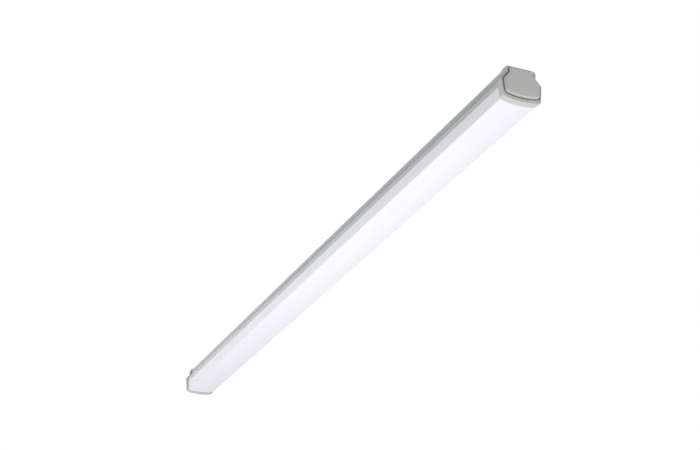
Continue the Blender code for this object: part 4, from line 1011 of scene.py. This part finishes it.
class Trees:
    """The Geometry Nodes trees, each built once."""

    def __init__(self) -> None:
        """Builds the trees."""
        self.section = self._build_section()
        self.turned = self._build_turned()
        self.windows = self._build_windows()

    @staticmethod
    def _start(name: str, inputs: dict[str, object]) -> tuple[Wiring, Sockets]:
        """Starts a tree, which takes its starting mesh and its material as inputs too.

        Args:
            name: The tree's name.
            inputs: Its other inputs.

        Returns:
            The tree's wiring and its inputs' sockets by name.
        """
        inputs = {"Geometry": Kind.GEOMETRY, **inputs, "Material": Kind.MATERIAL}
        wiring, entry = add_group(name, TreeKind.GEOMETRY, inputs, {"Geometry": Kind.GEOMETRY})
        wiring.tree.is_modifier = True
        return wiring, entry

    @staticmethod
    def _finish(wiring: Wiring, shape: Socket, material: Socket) -> NodeTree:
        """Ends a tree with Realize Instances, Set Shade Smooth and Set Material.

        Args:
            wiring: The tree's wiring.
            shape: What the tree has made.
            material: The material's socket.

        Returns:
            The tree.
        """
        real = wiring.out("GeometryNodeRealizeInstances", {"Geometry": shape})
        even = wiring.out("GeometryNodeSetShadeSmooth", {"Geometry": real})
        coated = wiring.out("GeometryNodeSetMaterial", {"Geometry": even, "Material": material})
        wiring.node("NodeGroupOutput", {"Geometry": coated})
        return wiring.tree

    @staticmethod
    def _stored(wiring: Wiring, label: str) -> Socket:
        """The number stored at each point of the starting mesh."""
        return wiring.out("GeometryNodeInputNamedAttribute", {"Name": label}, "Attribute", data_type="FLOAT")

    @staticmethod
    def _run(wiring: Wiring, face: Socket, offset: Socket, back: Socket) -> Socket:
        """Runs a face along an offset and closes what it leaves behind.

        Args:
            wiring: The tree's wiring.
            face: The face.
            offset: How far it runs.
            back: The face that closes the other end.

        Returns:
            The closed shape.
        """
        inputs = {"Mesh": face, "Offset": offset, "Individual": False}
        both = wiring.joined(wiring.out("GeometryNodeExtrudeMesh", inputs), back)
        return wiring.out("GeometryNodeMergeByDistance", {"Geometry": both, "Distance": MERGE_DISTANCE})

    @staticmethod
    def _spread(wiring: Wiring, mesh: Socket, piece: Socket, turn: object = (0.0, 0.0, 0.0)) -> Socket:
        """Sets a piece at each point of a mesh.

        Args:
            wiring: The tree's wiring.
            mesh: The mesh.
            piece: The piece.
            turn: How the piece is turned.

        Returns:
            The pieces.
        """
        spots = wiring.out("GeometryNodeMeshToPoints", {"Mesh": mesh})
        inputs = {"Points": spots, "Instance": piece, "Rotation": turn}
        return wiring.out("GeometryNodeInstanceOnPoints", inputs)

    def _build_section(self) -> NodeTree:
        """Rounds an outline's corners, fills it and runs it along X.

        Returns:
            The tree.
        """
        wiring, entry = self._start("run_section", {"Length": 1.0, "Arc Steps": 6})
        radius = self._stored(wiring, "corner_radius")
        lines = wiring.out("GeometryNodeMeshToCurve", {"Mesh": entry["Geometry"]})
        inputs = {"Curve": lines, "Count": entry["Arc Steps"], "Radius": radius, "Limit Radius": True}
        arcs = wiring.out("GeometryNodeFilletCurve", inputs, mode="POLY")
        face = wiring.out("GeometryNodeFillCurve", {"Curve": arcs})
        back = wiring.out("GeometryNodeFlipFaces", {"Mesh": face})
        bar = self._run(wiring, face, wiring.combined(z=entry["Length"]), back)
        centred = wiring.combined(x=wiring.math("MULTIPLY", entry["Length"], -0.5))
        inputs = {"Geometry": bar, "Translation": centred, "Rotation": (math.pi / 2, 0.0, math.pi / 2)}
        lying = wiring.out("GeometryNodeTransform", inputs)
        return self._finish(wiring, lying, entry["Material"])

    @staticmethod
    def _cross(wiring: Wiring, entry: Sockets) -> Socket:
        """Two crossed boxes, which cut a cross recess.

        Args:
            wiring: The tree's wiring.
            entry: The tree's inputs, with the sizes of the recess.

        Returns:
            The boxes.
        """
        arms = []
        for first, second in (("Recess Width", "Recess Span"), ("Recess Span", "Recess Width")):
            size = wiring.combined(entry[first], entry[second], entry["Recess Height"])
            arms.append(wiring.out("GeometryNodeMeshCube", {"Size": size}))
        middle = wiring.math("MULTIPLY", entry["Recess Height"], 0.5)
        lift = wiring.combined(z=wiring.math("ADD", entry["Recess Floor"], middle))
        return wiring.out("GeometryNodeTransform", {"Geometry": wiring.joined(*arms), "Translation": lift})

    def _build_turned(self) -> NodeTree:
        """Turns a profile into a round piece and sets one at each place, with an optional cross recess.

        Returns:
            The tree.
        """
        inputs = {
            "Places": Kind.OBJECT,
            "Sides": 24,
            "Turn": Kind.ROTATION,
            "Recess Width": 0.0,
            "Recess Span": 0.0,
            "Recess Floor": 0.0,
            "Recess Height": 0.001,
        }
        wiring, entry = self._start("turned_pieces", inputs)
        radius = self._stored(wiring, "turn_radius")
        axis = wiring.out("GeometryNodeMeshToCurve", {"Mesh": entry["Geometry"]})
        ring = wiring.out("GeometryNodeCurvePrimitiveCircle", {"Resolution": entry["Sides"], "Radius": 1.0})
        inputs = {"Curve": axis, "Profile Curve": ring, "Scale": radius, "Fill Caps": True}
        shape = wiring.out("GeometryNodeCurveToMesh", inputs)
        inputs = {"Mesh 1": shape, "Mesh 2": self._cross(wiring, entry), "Self Intersection": True}
        recessed = wiring.out("GeometryNodeMeshBoolean", inputs, operation="DIFFERENCE", solver="EXACT")
        inputs = {0: entry["Recess Width"]}
        wanted = wiring.out("FunctionNodeCompare", inputs, data_type="FLOAT", operation="GREATER_THAN")
        inputs = {"Switch": wanted, "False": shape, "True": recessed}
        chosen = wiring.out("GeometryNodeSwitch", inputs, "Output", input_type="GEOMETRY")
        places = wiring.out("GeometryNodeObjectInfo", {"Object": entry["Places"]}, "Geometry")
        spread = self._spread(wiring, places, chosen, entry["Turn"])
        return self._finish(wiring, spread, entry["Material"])

    def _build_windows(self) -> NodeTree:
        """A row of thin windows with rounded corners for each point, one under each LED package.

        Returns:
            The tree.
        """
        inputs = {
            "Count": 18,
            "Pitch": 0.016,
            "Window Length": 0.0026,
            "Window Width": 0.0019,
            "Corner Radius": 0.0004,
            "Corner Steps": 4,
            "Thickness": 0.0001,
        }
        wiring, entry = self._start("led_windows", inputs)
        inputs = {"Width": entry["Window Length"], "Height": entry["Window Width"]}
        line = wiring.out("GeometryNodeCurvePrimitiveQuadrilateral", inputs)
        inputs = {"Curve": line, "Radius": entry["Corner Radius"], "Count": entry["Corner Steps"]}
        arcs = wiring.out("GeometryNodeFilletCurve", inputs, mode="POLY")
        face = wiring.out("GeometryNodeFillCurve", {"Curve": arcs}, mode="NGONS")
        down = wiring.math("MULTIPLY", entry["Thickness"], -1.0)
        window = self._run(wiring, face, wiring.combined(z=down), face)
        half_count = wiring.math("MULTIPLY", wiring.math("SUBTRACT", 1.0, entry["Count"]), 0.5)
        start = wiring.math("MULTIPLY", half_count, entry["Pitch"])
        inputs = {
            "Count": entry["Count"],
            "Start Location": wiring.combined(x=start),
            "Offset": wiring.combined(x=entry["Pitch"]),
        }
        row = wiring.out("GeometryNodeMeshLine", inputs)
        rows = self._spread(wiring, entry["Geometry"], row)
        spots = wiring.out("GeometryNodeRealizeInstances", {"Geometry": rows})
        return self._finish(wiring, self._spread(wiring, spots, window), entry["Material"])


def run_tree(item: Item, tree: NodeTree, inputs: dict[str, object]) -> Item:
    """Runs a Geometry Nodes tree on an object and keeps the result as its plain mesh.

    Args:
        item: The object that holds the tree's starting mesh.
        tree: The tree.
        inputs: Values by the input's name.

    Returns:
        The same object.
    """
    modifier = item.modifiers.new(tree.name, "NODES")
    modifier.node_group = tree
    entries = [socket for socket in tree.interface.items_tree if socket.in_out == "INPUT"]
    identifiers = {socket.name: socket.identifier for socket in entries}
    for name, value in inputs.items():
        modifier[identifiers[name]] = value
    return settled(item)


def turned_pieces(
    name: str, profile: tuple[Point, ...], places: list[Place], tree: NodeTree, inputs: dict[str, object]
) -> Item:
    """Round pieces turned from one profile, one at each place.

    Args:
        name: The object's name.
        profile: The profile, as heights along the axis with their radii.
        places: Where the pieces sit.
        tree: The tree that turns and spreads them.
        inputs: The tree's other inputs.

    Returns:
        The pieces as one object.
    """
    axis = [(0.0, 0.0, height, radius) for height, radius in profile]
    item = line_object(name, [axis], "turn_radius", closed=False)
    spots = plain_object("places", places)
    run_tree(item, tree, {"Places": spots, **inputs})
    bpy.data.objects.remove(spots)
    return smooth(item, angle=35.0)


# Bookkeeping with the frame


def middle_of(node: str) -> Vector:
    """The middle of a solid's box."""
    low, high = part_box(node)
    return (Vector(low) + Vector(high)) / 2


def dress(item: Item, body: Body, slot: Slot, *nodes: str) -> None:
    """Makes a piece ride on its body and stand for its solids, which are hidden.

    Args:
        item: The piece.
        body: The body that carries it.
        slot: The slot of its finish; not used.
        nodes: The solids that it stands for.
    """
    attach(item, body.value)
    if nodes:
        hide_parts(*nodes)
    faces = len(item.data.polygons)
    log.info("%s: %d faces on %s, stands for %s", item.name, faces, body.value, nodes or "nothing")


def recoat(node: str, material: Material) -> None:
    """Gives a solid that stays a better material.

    Args:
        node: The solid's name.
        material: Its new material.
    """
    item = NODES[node]
    for slot in item.material_slots:
        slot.material = material
    if not item.material_slots:
        item.data.materials.append(material)
    log.info("%s: recoated with %s", node, material.name)


# The tube


@dataclass(frozen=True)
class Section:
    """The corners of the tube's outer section, on its right half."""

    flange_top: Corner = Corner(0.0183, 0.0, 0.0010)
    flange_tip: Corner = Corner(0.0201, -0.0039, 0.0008)
    notch: Corner = Corner(0.0187, -0.0090, 0.0010)
    widest: Corner = Corner(0.0263, -0.0182, 0.0020)
    low: Corner = Corner(0.0242, -0.0406, 0.0037)
    bow_depth: float = 0.0031

    def side_line(self, upper: Corner, lower: Corner, inwards: float) -> tuple[Vector, Vector]:
        """A point and the direction of one side, moved inwards.

        Args:
            upper: The side's upper corner.
            lower: Its lower corner.
            inwards: How far it moves.

        Returns:
            The point and the direction, which points down.
        """
        start = Vector((upper.y, upper.z))
        along = (Vector((lower.y, lower.z)) - start).normalized()
        return start + Vector((along.y, -along.x)) * inwards, along


@dataclass
class Tube:
    """Housing extrusion and opal diffuser, each run along X from its section."""

    trees: Trees
    palette: Palette
    section: Section
    end_x: float = 0.5915
    bow_steps: int = 14
    arc_steps: int = 8

    def build(self) -> None:
        """Builds both pieces and recoats the seal strips."""
        section = self.section
        housing = [section.widest, section.notch, section.flange_tip, section.flange_top]
        bottom = [Corner(y, z) for y, z in bow(section.low, section.bow_depth, self.bow_steps)]
        self._run("housing", Slot.HOUSING, housing, upwards=True)
        self._run("diffuser", Slot.OPAL, [section.low, *bottom], upwards=False)
        for side in ("left", "right"):
            recoat(f"{side}_seal_strip", self.palette[Slot.SILICONE])

    def _run(self, node: str, slot: Slot, right: list[Corner], upwards: bool) -> None:
        """Runs one section along the tube.

        Args:
            node: The solid whose inner side is kept.
            slot: The slot of its finish.
            right: The corners of its outer line's right half, from the lip to the middle.
            upwards: Whether the outer line is the one that reaches up the most.
        """
        loops = end_loops(node, self.end_x)
        loops.sort(key=len, reverse=True)
        inner = [Corner(*point) for point in self._inner_path(loops[0], upwards)]
        left = [Corner(-corner.y, corner.z, corner.radius) for corner in right if corner.y > MERGE_DISTANCE]
        outlines = [inner + left + right[::-1]]
        outlines += [[Corner(*point) for point in loop] for loop in loops[1:]]
        lines = [[(corner.y, corner.z, 0.0, corner.radius) for corner in outline] for outline in outlines]
        item = line_object(f"{node}_run", lines, "corner_radius", closed=True)
        inputs = {"Length": 2 * self.end_x, "Arc Steps": self.arc_steps, "Material": self.palette[slot]}
        run_tree(item, self.trees.section, inputs)
        smooth(item, angle=25.0)
        dress(item, Body.FIXTURE, slot, node)

    @staticmethod
    def _inner_path(loop: list[Point], upwards: bool) -> list[Point]:
        """The part of an open section's outline that faces inwards, from its right lip to its left one.

        Args:
            loop: The whole outline.
            upwards: Whether the outer side is the one that reaches up the most.

        Returns:
            The inner points, with both outer lips as first and last.
        """
        if upwards:
            lowest = min(z for _, z in loop)
            lips = [point for point in loop if abs(point[1] - lowest) < SAME_PLACE]
        else:
            widest = max(y for y, _ in loop)
            lips = [point for point in loop if abs(abs(point[0]) - widest) < SAME_PLACE]
        start = loop.index(max(lips))
        turned = loop[start:] + loop[:start]
        stop = turned.index(min(lips))
        one_way = turned[: stop + 1]
        other_way = [turned[0]] + turned[: stop - 1: -1]
        outwards = 1 if upwards else -1
        return min(one_way, other_way, key=lambda way: max(outwards * z for _, z in way))


# The end caps


@dataclass
class EndCap:
    """Collar and rim, raised cover, gasket and the three screws of one end."""

    end: End
    trees: Trees
    palette: Palette
    section: Section
    web_x: float = 0.5953
    face_x: float = 0.6
    frame_edge: float = 0.0002
    standout: float = 0.0025
    draft: float = 0.0003
    edge_radius: float = 0.0024
    edge_steps: int = 10
    arc_steps: int = 8
    collar_proud: float = 0.0013
    rim_top: float = 0.0019
    rim_flange: float = 0.0048
    rim_shoulder: float = 0.0021
    rim_side: float = 0.0028
    rim_bottom: float = 0.0060
    bow_depth: float = 0.0031
    bow_steps: int = 10
    top_radius: float = 0.0026
    neck_radius: float = 0.0030
    widest_radius: float = 0.0040
    low_radius: float = 0.0045
    skirt: float = 0.0010
    plate_back: float = 0.0027
    overrun: float = 0.001
    peg_radius: float = 0.0015
    peg_sides: int = 24
    peg_places: tuple[Point, ...] = ((0.0120, -0.0046), (0.0145, -0.0317))
    gland_depth: float = 0.0160
    gland_hole_radius: float = 0.01235
    gland_hole_sides: int = 64
    screw_count: int = 3
    screw_sides: int = 32
    recess_width: float = 0.0008
    recess_span: float = 0.0030
    recess_floor: float = 0.0012
    recess_height: float = 0.0030
    screw_profile: tuple[Point, ...] = (
        (-0.0157, TIP_RADIUS),
        (-0.0142, 0.0015),
        (0.00029, 0.0015),
        (0.0003, 0.0026),
        (0.0013, 0.0026),
        (0.0018, 0.0023),
        (0.0022, 0.0017),
        (0.0023, 0.0010),
        (0.0023, TIP_RADIUS),
    )

    @property
    def side(self) -> str:
        """The end's name in the names of its pieces."""
        return self.end.name.lower()

    @property
    def cap_body(self) -> Body:
        """The body that carries the collar and the screws."""
        return Body.NEAR_CAP if self.end is End.NEAR else Body.FAR_CAP

    @property
    def cover_body(self) -> Body:
        """The body that carries the cover."""
        return Body.NEAR_COVER if self.end is End.NEAR else Body.FAR_COVER

    def build(self) -> None:
        """Builds the pieces of this end."""
        node = f"{self.side}_cap_frame"
        collar = rounded_copy(node, self.frame_edge, self.palette[Slot.CAP])
        dress(collar, self.cap_body, Slot.CAP, node)
        self._build_cover()
        self._build_screws()
        recoat(f"{self.side}_gasket", self.palette[Slot.SILICONE])

    def _corners(self) -> list[Corner]:
        """Works out the cover's right half, whose sides run along the collar's.

        Returns:
            Its corners, from the top down.
        """
        section = self.section
        proud = self.collar_proud
        shoulder, down = section.side_line(section.notch, section.widest, self.rim_shoulder - proud)
        side, along = section.side_line(section.widest, section.low, self.rim_side - proud)
        half = section.flange_tip.y + proud - self.rim_flange
        neck = shoulder + down * ((half - shoulder.x) / down.x)
        widest = shoulder + down * ((side - shoulder).cross(along) / down.cross(along))
        low_z = section.low.z - section.bow_depth - proud + self.rim_bottom + self.bow_depth
        low = side + along * ((low_z - side.y) / along.y)
        return [
            Corner(half, proud - self.rim_top, self.top_radius),
            Corner(neck.x, neck.y, self.neck_radius),
            Corner(widest.x, widest.y, self.widest_radius),
            Corner(low.x, low.y, self.low_radius),
        ]

    def _outline(self) -> list[Point]:
        """Works out the cover's outline.

        Returns:
            Its points, with finely rounded corners and a bowed bottom.
        """
        corners = self._corners()
        bottom = bow(corners[-1], self.bow_depth, self.bow_steps)
        around = [Vector((0.0, corners[0].z))] + [Vector((corner.y, corner.z)) for corner in corners]
        around.append(Vector(bottom[0]))
        half: list[Point] = []
        for index, corner in enumerate(corners):
            arc = fillet(around[index], around[index + 1], around[index + 2], corner.radius, self.arc_steps)
            half += [(point.x, point.y) for point in arc]
        lowest_arc_y = half[-1][0]
        half += [point for point in bottom if point[0] < lowest_arc_y - SAME_PLACE]
        return mirrored(half)

    def _build_cover(self) -> None:
        """The raised plate with its skirt, pocket and pegs."""
        outline = self._outline()
        node = f"{self.side}_cap_cover"
        material = self.palette[Slot.CAP]
        start = self.web_x + GAP
        rings = [(start, inset(outline, self.draft)), (self.face_x - self.standout, outline)]
        for step in range(self.edge_steps + 1):
            turn = math.pi / 2 * step / self.edge_steps
            front = self.face_x - self.edge_radius * (1 - math.sin(turn))
            rings.append((front, inset(outline, self.edge_radius * (1 - math.cos(turn)))))
        cover = loft(f"{node}_plate", rings, material)
        pocket = inset(outline, self.skirt + self.draft)
        rings = [(start - self.overrun, pocket), (self.web_x + self.plate_back, pocket)]
        cut(cover, loft("pocket", rings, material), Cut.REMOVE)
        run = (self.web_x + 2 * GAP, self.web_x + self.plate_back + self.overrun)
        for y, z in self.peg_places:
            for across in (y, -y):
                cut(cover, rod(run, (across, z), self.peg_radius, self.peg_sides, material), Cut.JOIN)
        if self.end is End.FAR:
            run = (start - self.overrun, self.face_x + self.overrun)
            centre = (0.0, -self.gland_depth)
            hole = rod(run, centre, self.gland_hole_radius, self.gland_hole_sides, material)
            cut(cover, hole, Cut.REMOVE)
            cover.data.transform(Matrix.Rotation(math.pi, 4, "Z"))
        smooth(cover, angle=30.0)
        dress(cover, self.cover_body, Slot.CAP, node)

    def _build_screws(self) -> None:
        """The three pan head screws, kept as one piece."""
        sign = self.end.value
        nodes = [f"{self.side}_cap_screw_{number + 1}" for number in range(self.screw_count)]
        middles = [middle_of(node) for node in nodes]
        places = [(sign * self.web_x, middle.y, middle.z) for middle in middles]
        inputs = {
            "Sides": self.screw_sides,
            "Turn": (0.0, sign * math.pi / 2, 0.0),
            "Recess Width": self.recess_width,
            "Recess Span": self.recess_span,
            "Recess Floor": self.recess_floor,
            "Recess Height": self.recess_height,
            "Material": self.palette[Slot.STEEL],
        }
        name = f"{self.side}_cap_screws"
        screws = turned_pieces(name, self.screw_profile, places, self.trees.turned, inputs)
        dress(screws, self.cap_body, Slot.STEEL, *nodes)


# The cable gland


@dataclass
class Gland:
    """Cable gland in the far end cap, from the washer to the dome nut."""

    palette: Palette
    edge: float = 0.00025

    def build(self) -> None:
        """Dresses the gland's pieces."""
        for node, body in (
            ("gland_body", Body.FAR_CAP),
            ("gland_locknut", Body.FAR_CAP),
            ("gland_nut", Body.DOME_NUT),
            ("gland_ring", Body.SLIP_RING),
        ):
            piece = rounded_copy(node, self.edge, self.palette[Slot.GLAND])
            dress(piece, body, Slot.GLAND, node)
        recoat("gland_washer", self.palette[Slot.SILICONE])
        recoat("gland_seal", self.palette[Slot.RUBBER])


# What the tube holds


@dataclass
class LedRow:
    """The four LED boards with their links and rivets, and the windows of the LED packages."""

    trees: Trees
    palette: Palette
    board_count: int = 4
    led_count: int = 18
    window_length: float = 0.0026
    window_width: float = 0.0019
    window_radius: float = 0.0004
    window_thickness: float = 0.0001
    rivet_count: int = 8
    rivet_sides: int = 20
    rivet_profile: tuple[Point, ...] = (
        (-0.0264, TIP_RADIUS),
        (-0.0264, 0.0014),
        (-0.02626, 0.0021),
        (-0.0260, 0.0026),
        (-0.0256, 0.0028),
        (-0.02559, 0.0015),
        (-0.0227, 0.0015),
        (-0.02269, 0.0022),
        (-0.0216, 0.0015),
        (-0.0216, TIP_RADIUS),
    )

    def build(self) -> None:
        """Builds the windows and the rivets and recoats the boards and links."""
        boards = [f"led_board_{number + 1}" for number in range(self.board_count)]
        self._build_windows(boards)
        self._build_rivets()
        for node in boards:
            recoat(node, self.palette[Slot.BOARD])
        for number in range(1, self.board_count):
            recoat(f"board_link_{number}", self.palette[Slot.LINK])

    def _build_windows(self, boards: list[str]) -> None:
        """The yellow windows under the LED packages.

        Args:
            boards: The boards' names.
        """
        boxes = [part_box(node) for node in boards]
        centres = [((low[0] + high[0]) / 2, 0.0, low[2]) for low, high in boxes]
        item = plain_object("led_windows", centres)
        inputs = {
            "Count": self.led_count,
            "Pitch": (boxes[0][1][0] - boxes[0][0][0]) / self.led_count,
            "Window Length": self.window_length,
            "Window Width": self.window_width,
            "Corner Radius": self.window_radius,
            "Thickness": self.window_thickness,
            "Material": self.palette.phosphor,
        }
        run_tree(item, self.trees.windows, inputs)
        smooth(item, angle=30.0)
        dress(item, Body.FIXTURE, Slot.BOARD)

    def _build_rivets(self) -> None:
        """The eight snap rivets, kept as one piece."""
        nodes = [f"board_rivet_{number + 1}" for number in range(self.rivet_count)]
        middles = [middle_of(node) for node in nodes]
        places = [(middle.x, middle.y, 0.0) for middle in middles]
        inputs = {"Sides": self.rivet_sides, "Material": self.palette[Slot.NYLON]}
        rivets = turned_pieces("board_rivets", self.rivet_profile, places, self.trees.turned, inputs)
        dress(rivets, Body.FIXTURE, Slot.NYLON, *nodes)


@dataclass
class Gear:
    """Gear tray, driver, terminal block, earth screw and leads."""

    palette: Palette
    edge: float = 0.00015

    def build(self) -> None:
        """Rounds the larger pieces and recoats the rest."""
        for node, slot in (
            ("gear_tray", Slot.TRAY),
            ("driver_case", Slot.DRIVER),
            ("driver_lid", Slot.DRIVER),
            ("terminal_block", Slot.BLOCK),
        ):
            dress(rounded_copy(node, self.edge, self.palette[slot]), Body.FIXTURE, slot, node)
        for node, slot in (
            ("driver_circuit_board", Slot.CIRCUIT),
            ("driver_screw_1", Slot.STEEL),
            ("driver_screw_2", Slot.STEEL),
            ("live_lead", Slot.BROWN),
            ("neutral_lead", Slot.BLUE),
            ("earth_lead", Slot.GREEN),
            ("led_positive_lead", Slot.RED),
            ("led_negative_lead", Slot.BLACK),
            ("earth_tag", Slot.BRASS),
            ("earth_screw", Slot.STEEL),
        ):
            recoat(node, self.palette[slot])
        for pole in ("live", "neutral", "earth"):
            recoat(f"terminal_clamp_{pole}", self.palette[Slot.BRASS])
            recoat(f"release_button_{pole}", self.palette[Slot.BUTTON])


# Camera, light and floor


@dataclass(frozen=True)
class Lamp:
    """A square soft lamp: its name, its centre, what it faces, its size and its power in watts."""

    name: str
    place: Place
    target: Place
    side: float
    power: float
    mirrored: bool = True

    def add(self) -> None:
        """Adds the lamp to the scene, unseen by the camera."""
        data = bpy.data.lights.new(self.name, "AREA")
        data.shape = "SQUARE"
        data.size = self.side
        data.energy = self.power
        item = add_object(self.name, data)
        item.matrix_world = facing(self.place, self.target)
        item.visible_camera = False
        item.visible_glossy = self.mirrored


def facing(place: Place, target: Place) -> Matrix:
    """Where a lamp or camera stands that faces a target.

    Args:
        place: Its place.
        target: What it faces.

    Returns:
        Its matrix.
    """
    towards = Vector(target) - Vector(place)
    return Matrix.Translation(place) @ towards.to_track_quat("-Z", "Y").to_matrix().to_4x4()


@dataclass
class Studio:
    """Plain pale floor, soft lamps and the camera of the view."""

    place: Place = (1.7619, -0.7523, -0.8424)
    target: Place = (0.10445, 0.0, 0.00857)
    roll: float = -0.5723
    lens: float = 69.43
    clip_start: float = 0.05
    sky: float = 0.46
    floor_z: float = -2.60
    floor_half: float = 20.0
    floor_colour: Colour = (0.9, 0.9, 0.9)
    floor_roughness: float = 0.9
    floor_glow: float = 0.40
    lamps: tuple[Lamp, ...] = (
        Lamp("lamp_below", (-0.1, -0.6, -1.26), (-0.1, -0.6, 0.0), side=3.0, power=12.5, mirrored=False),
        Lamp("lamp_key", (0.2, -0.70, -1.20), (0.0, 0.0, 0.0), side=1.2, power=20.0),
        Lamp("lamp_front", (2.5, 1.1, -0.7), (0.0, 0.0, 0.0), side=1.2, power=32.0),
        Lamp("lamp_far", (-2.6, -0.5, 0.7), (-0.6, 0.0, 0.0), side=1.4, power=8.0),
    )

    def build(self) -> None:
        """Makes the camera, the world, the lamps and the floor."""
        self._build_camera()
        self._build_world()
        for lamp in self.lamps:
            lamp.add()
        self._build_floor()
        bpy.context.scene.view_settings.view_transform = "Standard"

    def _build_camera(self) -> None:
        """The camera, looking up along the tube from beyond its near end."""
        data = bpy.data.cameras.new("camera")
        data.lens = self.lens
        data.clip_start = self.clip_start
        camera = add_object("camera", data)
        roll = Matrix.Rotation(math.radians(self.roll), 4, "Z")
        camera.matrix_world = facing(self.place, self.target) @ roll
        bpy.context.scene.camera = camera

    def _build_world(self) -> None:
        """A sky that is white to the camera and to reflections, and dimmer as light."""
        world = bpy.data.worlds.new("sky")
        world.use_nodes = True
        bpy.context.scene.world = world
        wiring = Wiring(world.node_tree)
        backdrop = world.node_tree.nodes["Background"]
        wiring.feed(backdrop.inputs["Color"], WHITE)
        wiring.feed(backdrop.inputs["Strength"], wiring.ranged(wiring.seen(), (0.0, 1.0), (self.sky, 1.0)))

    def _build_floor(self) -> None:
        """A plain pale floor far below the fixture, clear where it is seen from underneath."""
        half = self.floor_half
        corners = [(-half, -half), (half, -half), (half, half), (-half, half)]
        floor = plain_object("floor", [(x, y, self.floor_z) for x, y in corners], faces=((0, 1, 2, 3),))
        material = bpy.data.materials.new("pale_floor")
        material.use_nodes = True
        wiring = Wiring(material.node_tree)
        shader = material.node_tree.nodes["Principled BSDF"]
        wiring.feed(shader.inputs["Base Color"], self.floor_colour)
        wiring.feed(shader.inputs["Roughness"], self.floor_roughness)
        wiring.feed(shader.inputs["Emission Color"], WHITE)
        glow = wiring.math("MULTIPLY", wiring.seen(), self.floor_glow)
        wiring.feed(shader.inputs["Emission Strength"], glow)
        underside = wiring.out("ShaderNodeNewGeometry", output="Backfacing")
        clear = wiring.out("ShaderNodeBsdfTransparent")
        surface = wiring.out("ShaderNodeMixShader", {0: underside, 1: shader.outputs["BSDF"], 2: clear})
        wiring.feed(material.node_tree.nodes["Material Output"].inputs["Surface"], surface)
        floor.data.materials.append(material)


def main() -> None:
    """Builds the studio and every sub-assembly, in order."""
    logging.basicConfig(level=logging.INFO, format="%(name)s %(message)s")
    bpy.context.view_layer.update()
    palette = Palette()
    trees = Trees()
    Studio().build()
    section = Section()
    Tube(trees, palette, section).build()
    for end in End:
        EndCap(end, trees, palette, section).build()
    Gland(palette).build()
    LedRow(trees, palette).build()
    Gear(palette).build()


if __name__ == "__main__":
    main()
